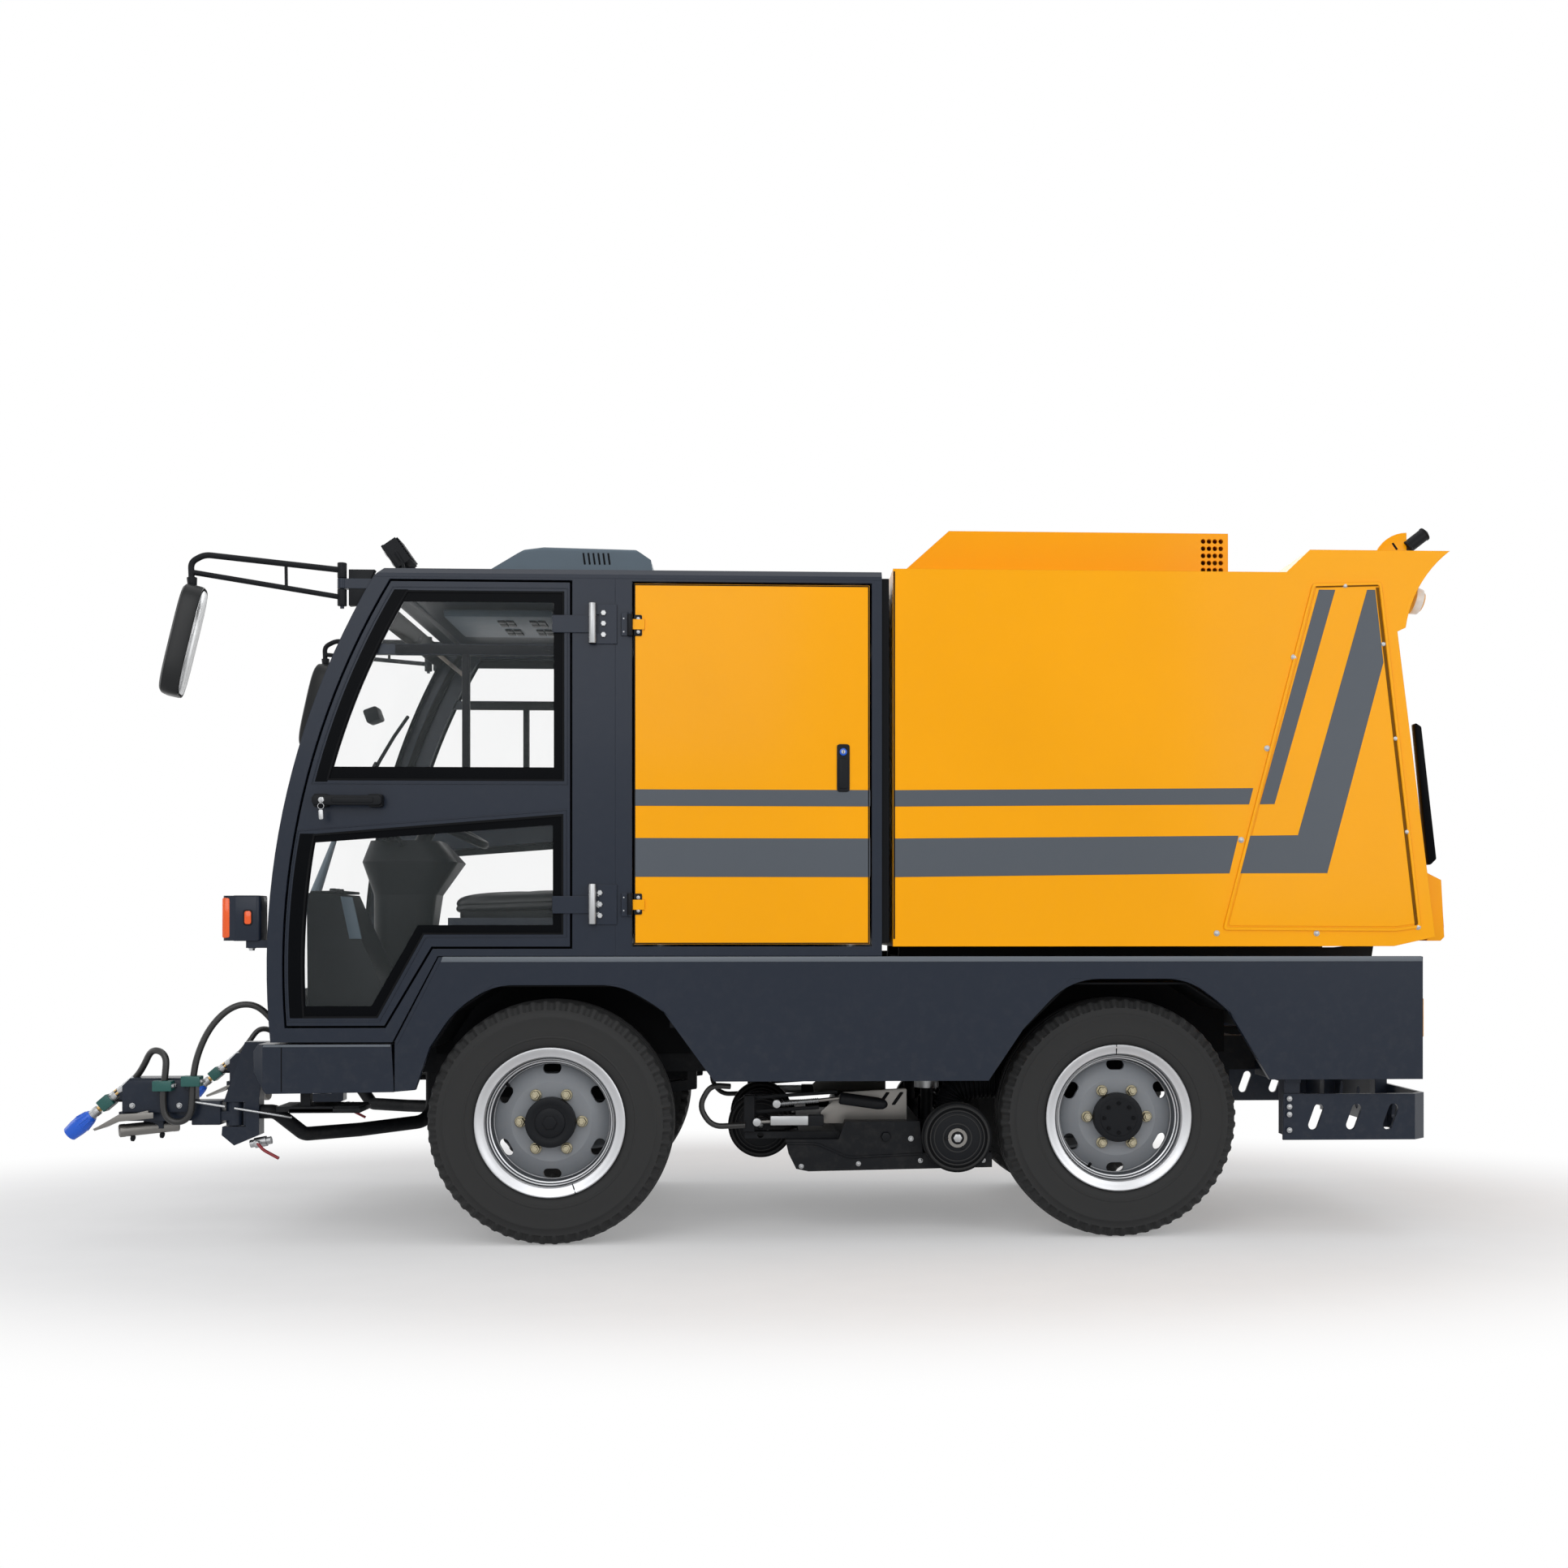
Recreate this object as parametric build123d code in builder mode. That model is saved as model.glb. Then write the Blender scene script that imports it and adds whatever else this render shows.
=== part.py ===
"""Small battery-electric road cleaning truck: high-pressure wash and suction body on a light chassis.

Millimetres.  +X is forward, +Y is the vehicle's left and +Z is up.  The origin lies on the
ground, below the middle of the overall length and on the centre line.
"""
from build123d import *
from math import cos, pi, radians, sin, sqrt
import os

os.makedirs("parts", exist_ok=True)

# ---- driving dimensions --------------------------------------------------------------------
front_axle_x = 652          # front axle ahead of the origin
wheelbase = 1760
body_width = 1400           # over the doors, boxes and skirts
sill_height = 883           # top of the skirts, underside of the raised cab floor
roof_height = 2060
skirt_bottom = 500

tyre_diameter = 750
tyre_width = 185
rim_diameter = 454
rim_width = tyre_width - 20
front_track = 1195
rear_track = 1055
kingpin_inset = 60          # kingpin inboard of the tyre's middle

body_wall = 40              # cab, box and tank walls and doors
skirt_wall = 25
roof_wall = 30
glass_wall = 6
door_gap = 7
running_gap = 6             # between moving bodies

cab_nose = 846              # foremost point of the cab, ahead of the front axle
nose_height = 850
cab_front_radius = 2350
footwell_floor = 623
footwell_rear = 471
raised_floor_front = 335
cab_rear = -200
box_rear = -1012
tank_front = -1046
tank_rear = -wheelbase - 971
tank_floor = 912

# ---- derived places ------------------------------------------------------------------------
half_width = body_width / 2
tyre_radius = tyre_diameter / 2
rim_radius = rim_diameter / 2
axle_height = tyre_radius
rear_axle_x = front_axle_x - wheelbase
front_wheel_y = front_track / 2
rear_wheel_y = rear_track / 2
kingpin_y = front_wheel_y - kingpin_inset
roof_underside = roof_height - roof_wall
SIDES = (("left", 1), ("right", -1))


def fx(offset):
    """X of a point given by its distance ahead of the front axle."""
    return front_axle_x + offset


def tail_x(offset):
    """X of a point given by its distance ahead of the foot of the tank's rear edge."""
    return fx(tank_rear + offset)


def cab_front_x(height, inset=0):
    """X of the curved cab front at a height; inset moves the curve inward."""
    radius = cab_front_radius - inset
    return fx(cab_nose - cab_front_radius) + sqrt(radius**2 - (height - nose_height) ** 2)


def side_plane(sign, outer, depth):
    """Plane from which an extrusion by depth fills |Y| from outer - depth to outer."""
    return Plane.XZ.offset(-outer if sign > 0 else outer - depth)


def finish(builder, label):
    """Label a finished piece and write its STEP file."""
    builder.part.label = label
    export_step(builder.part, f"parts/{label}.step")


# ---- chassis -------------------------------------------------------------------------------
rail_outer = 300
rail_width = 60
rail_bottom = 500
rail_height = 112
rail_top = rail_bottom + rail_height
rail_front = fx(804)         # against the back of the bumper
rail_rear = tail_x(91)
rail_y = rail_outer - rail_width / 2
rail_inner = rail_outer - rail_width
crossmember_width = 60
crossmember_height = rail_height - 30
crossmember_bottom = rail_bottom + (rail_height - crossmember_height) / 2
cab_mount = 60
outrigger = 50
crossmembers = (rail_front - crossmember_width / 2, fx(430), fx(-450), fx(-1320), tail_x(481),
                rail_rear + crossmember_width / 2)
outriggers = (fx(400), fx(-560), rear_axle_x + 430, rear_axle_x - 640)
low_cab_mounts = (fx(760), fx(520))      # under the footwell
high_cab_mounts = (fx(280), fx(-200))    # under the raised floor

with BuildPart() as chassis_rails:
    for _, sign in SIDES:
        with Locations(((rail_front + rail_rear) / 2, sign * rail_y, rail_bottom + rail_height / 2)):
            Box(rail_front - rail_rear, rail_width, rail_height)
finish(chassis_rails, "chassis_rails")

with BuildPart() as chassis_crossmembers:
    for x in crossmembers:
        with Locations((x, 0, rail_bottom + rail_height / 2)):
            Box(crossmember_width, 2 * rail_inner, crossmember_height)
finish(chassis_crossmembers, "chassis_crossmembers")

with BuildPart() as chassis_supports:
    for mounts, floor in ((low_cab_mounts, footwell_floor), (high_cab_mounts, sill_height)):
        for x in mounts:
            for _, sign in SIDES:
                with Locations((x, sign * rail_y, (rail_top + floor) / 2)):
                    Box(cab_mount, cab_mount, floor - rail_top)
    for x in outriggers:
        with Locations((x, 0, rail_top + outrigger / 2)):
            Box(outrigger, 2 * (half_width - skirt_wall), outrigger)
finish(chassis_supports, "chassis_supports")

# ---- axles and steering --------------------------------------------------------------------
spring_half = 430
spring_seat = 4              # pad between an axle and its leaf pack
spring_end = 30
spring_pad = 10              # clamped block under the middle of the leaves
saddle_length = 90
saddle_width = 70
axle_tube_radius = 44
spring_thick = 34
spring_y = rail_y
beam_size = 64
kingpin_radius = 12
beam_boss_radius = 34
beam_boss_height = 66
knuckle_boss_radius = 30
knuckle_boss_height = 34
spindle_radius = 26
hub_radius = 70
front_disc_y = front_wheel_y + 46   # outboard face of the wheel disc
rear_disc_y = rear_wheel_y + 46


def leaf_spring(axle_x, sign, top, arch):
    """Arched leaf pack under one rail, hung from the rail at both ends."""
    foot = top - spring_thick
    with BuildSketch(side_plane(sign, spring_y + rail_width / 2, rail_width)) as leaves:
        with BuildLine():
            ThreePointArc((axle_x - spring_half, top), (axle_x, top - arch), (axle_x + spring_half, top))
            Line((axle_x + spring_half, top), (axle_x + spring_half, foot))
            ThreePointArc((axle_x + spring_half, foot), (axle_x, foot - arch), (axle_x - spring_half, foot))
            Line((axle_x - spring_half, foot), (axle_x - spring_half, top))
        make_face()
    extrude(leaves.sketch, amount=rail_width)
    with Locations((axle_x, sign * spring_y, foot - arch + spring_pad / 2)):
        Box(saddle_length, rail_width, spring_pad)
    for end in (-1, 1):
        with Locations((axle_x + end * (spring_half - spring_end / 2), sign * spring_y,
                        (top - spring_end / 2 + rail_bottom) / 2)):
            Box(spring_end, rail_width, rail_bottom - top + spring_end / 2)


spring_top = rail_bottom - 24
front_spring_foot = axle_height + beam_size / 2 + spring_seat
rear_spring_foot = axle_height + axle_tube_radius + spring_seat
front_spring_arch = spring_top - spring_thick - front_spring_foot
rear_spring_arch = spring_top - spring_thick - rear_spring_foot
with BuildPart() as front_axle:
    with Locations((front_axle_x, 0, axle_height)):
        Box(beam_size, 2 * kingpin_y, beam_size)
    for _, sign in SIDES:
        with Locations((front_axle_x, sign * kingpin_y, axle_height)):
            Cylinder(beam_boss_radius, beam_boss_height)
            Cylinder(kingpin_radius, beam_boss_height + 2 * knuckle_boss_height)
        with Locations((front_axle_x, sign * spring_y, (axle_height + front_spring_foot) / 2)):
            Box(saddle_length, saddle_width, front_spring_foot - axle_height)
finish(front_axle, "front_axle")

with BuildPart() as rear_axle:
    with Locations(Plane(origin=(rear_axle_x, 0, axle_height), z_dir=(0, 1, 0))):
        Cylinder(axle_tube_radius, 2 * (rear_disc_y - 60))
        Cylinder(spindle_radius, 2 * (rear_disc_y - 20))
        Cylinder(118, 190)
    with Locations((rear_axle_x + 190, 60, axle_height + 10)):
        Cylinder(85, 240, rotation=(0, 90, 0))
    for _, sign in SIDES:
        with Locations((rear_axle_x, sign * spring_y, (axle_height + rear_spring_foot) / 2)):
            Box(saddle_length, saddle_width, rear_spring_foot - axle_height)
finish(rear_axle, "rear_axle")

with BuildPart() as leaf_springs:
    for _, sign in SIDES:
        leaf_spring(front_axle_x, sign, spring_top, front_spring_arch)
        leaf_spring(rear_axle_x, sign, spring_top, rear_spring_arch)
finish(leaf_springs, "leaf_springs")

knuckle_gap = 1.5
for side, sign in SIDES:
    with BuildPart() as knuckle:
        boss_offset = beam_boss_height / 2 + knuckle_gap + knuckle_boss_height / 2
        for level in (-boss_offset, boss_offset):
            with Locations((front_axle_x, sign * kingpin_y, axle_height + level)):
                Cylinder(knuckle_boss_radius, knuckle_boss_height)
            with Locations((front_axle_x, sign * (kingpin_y + 30), axle_height + level)):
                Box(50, 60, knuckle_boss_height)
        with Locations((front_axle_x, sign * (kingpin_y + 50), axle_height)):
            Box(70, 22, 2 * boss_offset + knuckle_boss_height)
        with Locations(Plane(origin=(front_axle_x, sign * (kingpin_y + 40 + front_disc_y - 20) / 2, axle_height),
                             z_dir=(0, 1, 0))):
            Cylinder(spindle_radius, front_disc_y - 20 - kingpin_y - 40)
        with Locations((front_axle_x - 90, sign * (kingpin_y - 10), axle_height - boss_offset)):
            Box(180, 30, 20)
        for level in (-boss_offset, boss_offset):
            with Locations((front_axle_x, sign * kingpin_y, axle_height + level)):
                Cylinder(kingpin_radius + 0.4, knuckle_boss_height + 2, mode=Mode.SUBTRACT)
    finish(knuckle, f"steering_knuckle_{side}")

# ---- wheels --------------------------------------------------------------------------------
bead_radius = rim_radius - 22
rim_skin = 9
nut_circle = 94
hand_hole_circle = 162
wheels = (
    ("front_left", 1, front_axle_x, front_wheel_y, front_disc_y),
    ("front_right", -1, front_axle_x, front_wheel_y, front_disc_y),
    ("rear_left", 1, rear_axle_x, rear_wheel_y, rear_disc_y),
    ("rear_right", -1, rear_axle_x, rear_wheel_y, rear_disc_y),
)
for name, sign, axle_x, wheel_y, disc_y in wheels:
    wheel_plane = Plane(origin=(axle_x, sign * wheel_y, axle_height), x_dir=(1, 0, 0), z_dir=(0, sign, 0))
    section = Plane(origin=(axle_x, sign * wheel_y, axle_height), x_dir=(1, 0, 0), z_dir=(0, 0, 1))
    out = sign
    with BuildPart() as tyre:
        with BuildSketch(section):
            with BuildLine():
                Polyline((bead_radius, -out * rim_width * 0.36), (rim_radius - 4, -out * rim_width * 0.43))
                Spline((rim_radius - 4, -out * rim_width * 0.43), (tyre_radius * 0.8, -out * tyre_width / 2),
                       (tyre_radius - 12, -out * tyre_width * 0.42))
                ThreePointArc((tyre_radius - 12, -out * tyre_width * 0.42), (tyre_radius, 0),
                              (tyre_radius - 12, out * tyre_width * 0.42))
                Spline((tyre_radius - 12, out * tyre_width * 0.42), (tyre_radius * 0.8, out * tyre_width / 2),
                       (rim_radius - 4, out * rim_width * 0.43))
                Polyline((rim_radius - 4, out * rim_width * 0.43), (bead_radius, out * rim_width * 0.36),
                         (bead_radius, -out * rim_width * 0.36))
            make_face()
        revolve(axis=Axis((axle_x, 0, axle_height), (0, 1, 0)))
    finish(tyre, f"tyre_{name}")
    disc = disc_y - wheel_y
    with BuildPart() as rim:
        with BuildSketch(section):
            with BuildLine():
                Polyline(
                    (rim_radius, -out * rim_width / 2),
                    (rim_radius, -out * rim_width * 0.45),
                    (bead_radius, -out * rim_width * 0.37),
                    (bead_radius, out * rim_width * 0.37),
                    (rim_radius, out * rim_width * 0.45),
                    (rim_radius, out * rim_width / 2),
                    (rim_radius - rim_skin, out * rim_width / 2),
                    (bead_radius - rim_skin, out * (rim_width * 0.37 - 4)),
                    (bead_radius - rim_skin, -out * (rim_width * 0.37 - 4)),
                    (rim_radius - rim_skin, -out * rim_width / 2),
                    close=True,
                )
            make_face()
            with BuildLine():
                Polyline(
                    (spindle_radius + 1, out * disc),
                    (nut_circle + 28, out * disc),
                    (bead_radius - rim_skin + 1, out * (disc - 42)),
                    (bead_radius - rim_skin + 1, out * (disc - 56)),
                    (nut_circle + 22, out * (disc - 14)),
                    (spindle_radius + 1, out * (disc - 14)),
                    close=True,
                )
            make_face()
        revolve(axis=Axis((axle_x, 0, axle_height), (0, 1, 0)))
        with BuildSketch(wheel_plane.offset(disc - 70)):
            with PolarLocations(hand_hole_circle, 6, start_angle=30):
                SlotOverall(56, 32, rotation=90)
        extrude(amount=80, mode=Mode.SUBTRACT)
        with BuildSketch(wheel_plane.offset(disc - 2)):
            Circle(hub_radius)
        extrude(amount=34)
        with BuildSketch(wheel_plane.offset(disc - 2)):
            with PolarLocations(nut_circle, 6, start_angle=0):
                RegularPolygon(13, 6)
        extrude(amount=20)
        with BuildSketch(wheel_plane.offset(disc - 30)):
            Circle(spindle_radius + 1)
        extrude(amount=31, mode=Mode.SUBTRACT)
    finish(rim, f"rim_{name}")

# ---- cab -----------------------------------------------------------------------------------
door_front_inset = 46       # width of the windscreen pillar seen from the side
door_front_bottom = footwell_floor + body_wall + 3
door_rear_x = fx(-70)
door_top = 2024
door_step_rear = fx(350)
door_step_front = fx(491)
door_rear_bottom = 905
screen_side = 56            # pillar width across the front
screen_bottom = 700
screen_top = 2016
hinge_axis_x = fx(-132)
hinge_axis_y = half_width + 14
hinge_radius = 11
hinge_pin_radius = 5
hinge_heights = (1891, 1039)
hinge_length = 120
wheel_box_top = 1000        # box over the front wheels that carries the seat
mirror_pivot_x = fx(624)
mirror_pivot_y = half_width - 14
mirror_pivot_z = 2000
mirror_pivot_radius = 14
mirror_pivot_length = 130


def cab_profile(inset=0, floor_rise=0):
    """Side outline of the cab, moved inward by inset, with its floor raised by floor_rise."""
    low = footwell_floor + floor_rise
    high = sill_height + floor_rise
    top = roof_underside
    middle = (low + top) / 2
    shift = inset * 0.55
    with BuildLine() as outline:
        ThreePointArc((cab_front_x(low, inset), low), (cab_front_x(middle, inset), middle),
                      (cab_front_x(top, inset), top))
        Polyline((cab_front_x(top, inset), top), (fx(cab_rear) + inset, top), (fx(cab_rear) + inset, high),
                 (fx(raised_floor_front) + shift, high), (fx(footwell_rear) + shift, low),
                 (cab_front_x(low, inset), low))
    return outline.edges()


def door_profile(gap=0):
    """Side outline of the cab door opening, or of the door when a gap is given."""
    low = door_front_bottom + gap
    top = door_top - gap
    front = door_front_inset + gap
    middle = (low + top) / 2
    with BuildLine() as outline:
        ThreePointArc((cab_front_x(low, front), low), (cab_front_x(middle, front), middle),
                      (cab_front_x(top, front), top))
        Polyline((cab_front_x(top, front), top), (door_rear_x + gap, top),
                 (door_rear_x + gap, door_rear_bottom + gap), (door_step_rear + gap * 0.55, door_rear_bottom + gap),
                 (door_step_front + gap * 0.55, low), (cab_front_x(low, front), low))
    return outline.edges()


def hinge_side(sign, axis_x, axis_y, radius, heights, length, leaf, moving):
    """One half of each hinge: the middle knuckle and leaf when moving, else the outer knuckles and pin."""
    for height in heights:
        if moving:
            with Locations((axis_x, sign * axis_y, height)):
                Cylinder(radius, length * 0.44)
            with Locations((axis_x + leaf / 2, sign * (half_width + 3), height)):
                Box(abs(leaf), 6, length * 0.44)
            with Locations((axis_x, sign * axis_y, height)):
                Cylinder(hinge_pin_radius + 0.4, length, mode=Mode.SUBTRACT)
        else:
            for end in (-1, 1):
                with Locations((axis_x, sign * axis_y, height + end * length * 0.37)):
                    Cylinder(radius, length * 0.26)
            with Locations((axis_x, sign * axis_y, height)):
                Cylinder(hinge_pin_radius, length)
            for end in (-1, 1):
                with Locations((axis_x - leaf * 0.3, sign * (half_width + 3), height + end * length * 0.37)):
                    Box(abs(leaf) * 0.6, 6, length * 0.26)
            with Locations((axis_x - leaf * 0.38, sign * (half_width + 3), height)):
                Box(abs(leaf) * 0.44, 6, length * 0.8)


# Route of each front washing hose, from its lance to the gland on the cab: X from the front axle, |Y|, Z.
hose_radius = 10
hose_route = (
    (1306, 545, 488), (1281, 547, 512), (1257, 556, 548), (1235, 572, 586), (1213, 584, 594), (1190, 594, 587),
    (1176, 601, 568), (1177, 605, 530), (1182, 606, 486), (1185, 606, 440), (1181, 606, 398), (1158, 606, 375),
    (1124, 606, 375), (1101, 606, 398), (1097, 605, 440), (1096, 604, 500), (1084, 600, 580), (1046, 592, 668),
    (985, 582, 728), (925, 572, 736), (880, 564, 704), (852, 560, 662),
)
gland_radius = 15
gland_length = 30
gland_gap = 6               # left for the hose, which swings with its arm


def gland_plane(sign):
    """Plane across the end of the hose, which the mouth of the cab's gland faces."""
    before = Vector(fx(hose_route[-2][0]), sign * hose_route[-2][1], hose_route[-2][2])
    mouth = Vector(fx(hose_route[-1][0]), sign * hose_route[-1][1], hose_route[-1][2])
    return Plane(origin=mouth, z_dir=before - mouth)


with BuildPart() as cab_shell:
    with BuildSketch(Plane.XZ):
        make_face(cab_profile())
    extrude(amount=half_width, both=True)
    with BuildSketch(Plane.XZ):
        make_face(cab_profile(inset=body_wall, floor_rise=body_wall))
    extrude(amount=half_width - body_wall - 5, both=True, mode=Mode.SUBTRACT)
    with BuildSketch(Plane.XZ):
        make_face(door_profile())
    extrude(amount=half_width + 1, both=True, mode=Mode.SUBTRACT)
    with Locations((fx(cab_nose), 0, (screen_bottom + screen_top) / 2)):
        Box(1000, 2 * (half_width - screen_side), screen_top - screen_bottom, mode=Mode.SUBTRACT)
    with Locations((fx(70), 0, (sill_height + body_wall + wheel_box_top) / 2)):
        Box(520, 2 * (half_width - body_wall - 5) - 200, wheel_box_top - sill_height - body_wall)
    for _, sign in SIDES:
        hinge_side(sign, hinge_axis_x, hinge_axis_y, hinge_radius, hinge_heights, hinge_length, 122, False)
        with Locations((mirror_pivot_x - 45, sign * (mirror_pivot_y - 4), mirror_pivot_z + 10)):
            Box(90, 26, 30)
        for end in (-1, 1):
            with Locations((mirror_pivot_x, sign * mirror_pivot_y, mirror_pivot_z + 10)):
                Cylinder(mirror_pivot_radius, 30)
        with Locations((mirror_pivot_x, sign * mirror_pivot_y, mirror_pivot_z)):
            Cylinder(6, mirror_pivot_length)
        with Locations(gland_plane(sign).offset(-gland_gap - gland_length / 2)):
            Cylinder(gland_radius, gland_length)
finish(cab_shell, "cab_shell")

with BuildPart() as cab_roof:
    with BuildSketch(Plane.XZ):
        with BuildLine():
            Polyline((cab_front_x(roof_underside), roof_underside), (cab_front_x(roof_height) - 12, roof_height),
                     (fx(box_rear), roof_height), (fx(box_rear), roof_underside),
                     (cab_front_x(roof_underside), roof_underside))
        make_face()
    extrude(amount=half_width, both=True)
    side_edges = cab_roof.edges().filter_by(Axis.X).group_by(Axis.Z)[-1]
    chamfer(side_edges, 18)
finish(cab_roof, "cab_roof")

with BuildPart() as windscreen:
    with BuildSketch(Plane.XZ):
        middle = (screen_bottom + screen_top) / 2
        inner = glass_wall
        with BuildLine():
            ThreePointArc((cab_front_x(screen_bottom), screen_bottom), (cab_front_x(middle), middle),
                          (cab_front_x(screen_top), screen_top))
            Line((cab_front_x(screen_top), screen_top), (cab_front_x(screen_top, inner), screen_top))
            ThreePointArc((cab_front_x(screen_top, inner), screen_top), (cab_front_x(middle, inner), middle),
                          (cab_front_x(screen_bottom, inner), screen_bottom))
            Line((cab_front_x(screen_bottom, inner), screen_bottom), (cab_front_x(screen_bottom), screen_bottom))
        make_face()
    extrude(amount=half_width - screen_side, both=True)
finish(windscreen, "windscreen")

window_bar_height = 1813
bar_depth = 20
glass_y = half_width - 4            # outer face of the door glass
bar_y = glass_y - glass_wall - bar_depth / 2
handle_height = 1352
upper_sill = 1416
lower_head = 1250


def upper_window(gap=0):
    """Outline of the upper door window."""
    top = 1988 - gap
    low = upper_sill + gap
    front = door_front_inset + 62 + gap
    middle = (low + top) / 2
    with BuildLine() as outline:
        ThreePointArc((cab_front_x(low, front), low), (cab_front_x(middle, front), middle),
                      (cab_front_x(top, front), top))
        Polyline((cab_front_x(top, front), top), (fx(-44) + gap, top), (fx(-44) + gap, low),
                 (cab_front_x(low, front), low))
    return outline.edges()


def lower_window(gap=0):
    """Outline of the lower door window, with its slanted head and foot."""
    front = door_front_inset + 58 + gap
    low = 698 + gap
    head = lower_head - gap
    middle = (low + head) / 2
    with BuildLine() as outline:
        ThreePointArc((cab_front_x(low, front), low), (cab_front_x(middle, front), middle),
                      (cab_front_x(head, front), head))
        Polyline((cab_front_x(head, front), head), (fx(-41) + gap, head + 62), (fx(-41) + gap, 950 + gap),
                 (fx(377), 950 + gap), (fx(516), low), (cab_front_x(low, front), low))
    return outline.edges()


for side, sign in SIDES:
    with BuildPart() as cab_door:
        with BuildSketch(side_plane(sign, half_width, body_wall)):
            make_face(door_profile(gap=door_gap))
        extrude(amount=body_wall)
        with BuildSketch(side_plane(sign, half_width, body_wall)):
            make_face(upper_window())
            make_face(lower_window())
        extrude(amount=body_wall, mode=Mode.SUBTRACT)
        bar_front = cab_front_x(window_bar_height, door_front_inset + 40)
        with Locations(((bar_front + door_rear_x) / 2 + 10, sign * bar_y, window_bar_height)):
            Box(bar_front - door_rear_x - 40, bar_depth, 32)
        with Locations((fx(253), sign * bar_y, (upper_sill + window_bar_height) / 2)):
            Box(18, bar_depth, window_bar_height - upper_sill + 20)
        hinge_side(sign, hinge_axis_x, hinge_axis_y, hinge_radius, hinge_heights, hinge_length, 122, True)
        for x in (fx(520), fx(682)):
            with Locations((x, sign * (half_width + 15), handle_height)):
                Box(20, 32, 20)
        with Locations((fx(601), sign * (half_width + 35), handle_height)):
            Box(200, 16, 24)
    finish(cab_door, f"cab_door_{side}")

for side, sign in SIDES:
    with BuildPart() as glass:
        with BuildSketch(side_plane(sign, glass_y, glass_wall)):
            make_face(upper_window())
            make_face(lower_window())
        extrude(amount=glass_wall)
    finish(glass, f"cab_door_glass_{side}")

# ---- cab interior --------------------------------------------------------------------------
seat_width = 480
cushion_top = 1080
inner_floor = footwell_floor + body_wall
steering_wheel_radius = 190
wheel_hub_height = 30
wheel_rise = 68               # of the wheel above the middle of the column stub
column_stub_radius = 26
column_stub_length = 2 * wheel_rise / (0.9 / sqrt(0.45**2 + 0.9**2)) - wheel_hub_height
steering_y = 0

with BuildPart() as driver_seat:
    with Locations((fx(150), steering_y, (wheel_box_top + cushion_top) / 2)):
        Box(470, seat_width, cushion_top - wheel_box_top)
    with BuildSketch(Plane.XZ):
        with BuildLine():
            Polyline((fx(-20), cushion_top - 30), (fx(-50), 1330), (fx(-110), 1330), (fx(-95), wheel_box_top),
                     (fx(-40), wheel_box_top), (fx(-20), cushion_top - 30))
        make_face()
    extrude(amount=seat_width / 2 - 20, both=True)
    fillet(driver_seat.edges().filter_by(Axis.Y).group_by(Axis.Z)[-1], 18)
finish(driver_seat, "driver_seat")

with BuildPart() as steering_column:
    with BuildSketch(Plane.XY.offset(inner_floor)):
        with Locations((fx(590), steering_y)):
            RectangleRounded(150, 170, 40)
    with BuildSketch(Plane.XY.offset(1080)):
        with Locations((fx(560), steering_y)):
            RectangleRounded(210, 230, 60)
    loft()
    with BuildSketch(Plane.XY.offset(1080)):
        with Locations((fx(560), steering_y)):
            RectangleRounded(210, 230, 60)
    with BuildSketch(Plane.XY.offset(1190)):
        with Locations((fx(540), steering_y)):
            RectangleRounded(320, 300, 80)
    loft()
    with BuildSketch(Plane.XY.offset(1190)):
        with Locations((fx(540), steering_y)):
            RectangleRounded(320, 300, 80)
    with BuildSketch(Plane.XY.offset(1262)):
        with Locations((fx(560), steering_y)):
            RectangleRounded(230, 240, 60)
    loft()
    with Locations(Plane(origin=(fx(510), steering_y, 1270), z_dir=(-0.45, 0, 0.9))):
        Cylinder(column_stub_radius, column_stub_length)
finish(steering_column, "steering_column")

wheel_axis = Plane(origin=(fx(510) - wheel_rise / 2, steering_y, 1270 + wheel_rise), x_dir=(0, 1, 0),
                   z_dir=(-0.45, 0, 0.9))
with BuildPart() as steering_wheel:
    with Locations(wheel_axis):
        Torus(steering_wheel_radius, 14)
        Cylinder(40, wheel_hub_height)
        Box(2 * steering_wheel_radius - 10, 34, 12)
    with Locations(wheel_axis * Pos(0, -steering_wheel_radius / 2, 0)):
        Box(34, steering_wheel_radius, 12)
finish(steering_wheel, "steering_wheel")

console_front = cab_front_x(inner_floor, body_wall) - 3.5
with BuildPart() as dash_console:
    with BuildSketch(Plane.XZ.offset(-420)):
        with BuildLine():
            Polyline((console_front, inner_floor), (console_front + 3, 1080), (fx(690), 1075), (fx(560), 780),
                     (fx(600), inner_floor), close=True)
        make_face()
    extrude(amount=260)
finish(dash_console, "dash_console")

# ---- roof fittings -------------------------------------------------------------------------
with BuildPart() as roof_air_conditioner:
    with BuildSketch(Plane.XZ):
        with BuildLine():
            Polyline((fx(268), roof_height), (fx(255), 2110), (fx(120), 2192), (fx(60), 2200), (fx(-235), 2194),
                     (fx(-285), 2160), (fx(-301), roof_height), close=True)
        make_face()
    extrude(amount=350, both=True)
    fillet(roof_air_conditioner.edges().filter_by(Axis.Y).group_by(Axis.Z)[-1], 20)
    fillet(roof_air_conditioner.faces().sort_by(Axis.Y)[-1].edges().group_by(Axis.Z)[-1], 12)
    fillet(roof_air_conditioner.faces().sort_by(Axis.Y)[0].edges().group_by(Axis.Z)[-1], 12)
finish(roof_air_conditioner, "roof_air_conditioner")

work_light_y = 450
with BuildPart() as roof_work_lights:
    for _, sign in SIDES:
        with Locations((fx(470), sign * work_light_y, roof_height + 24)):
            Box(40, 26, 48)
        with Locations(Location((fx(500), sign * work_light_y, 2144), (0, 35, 0))):
            Box(50, 110, 84)
finish(roof_work_lights, "roof_work_lights")

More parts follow.
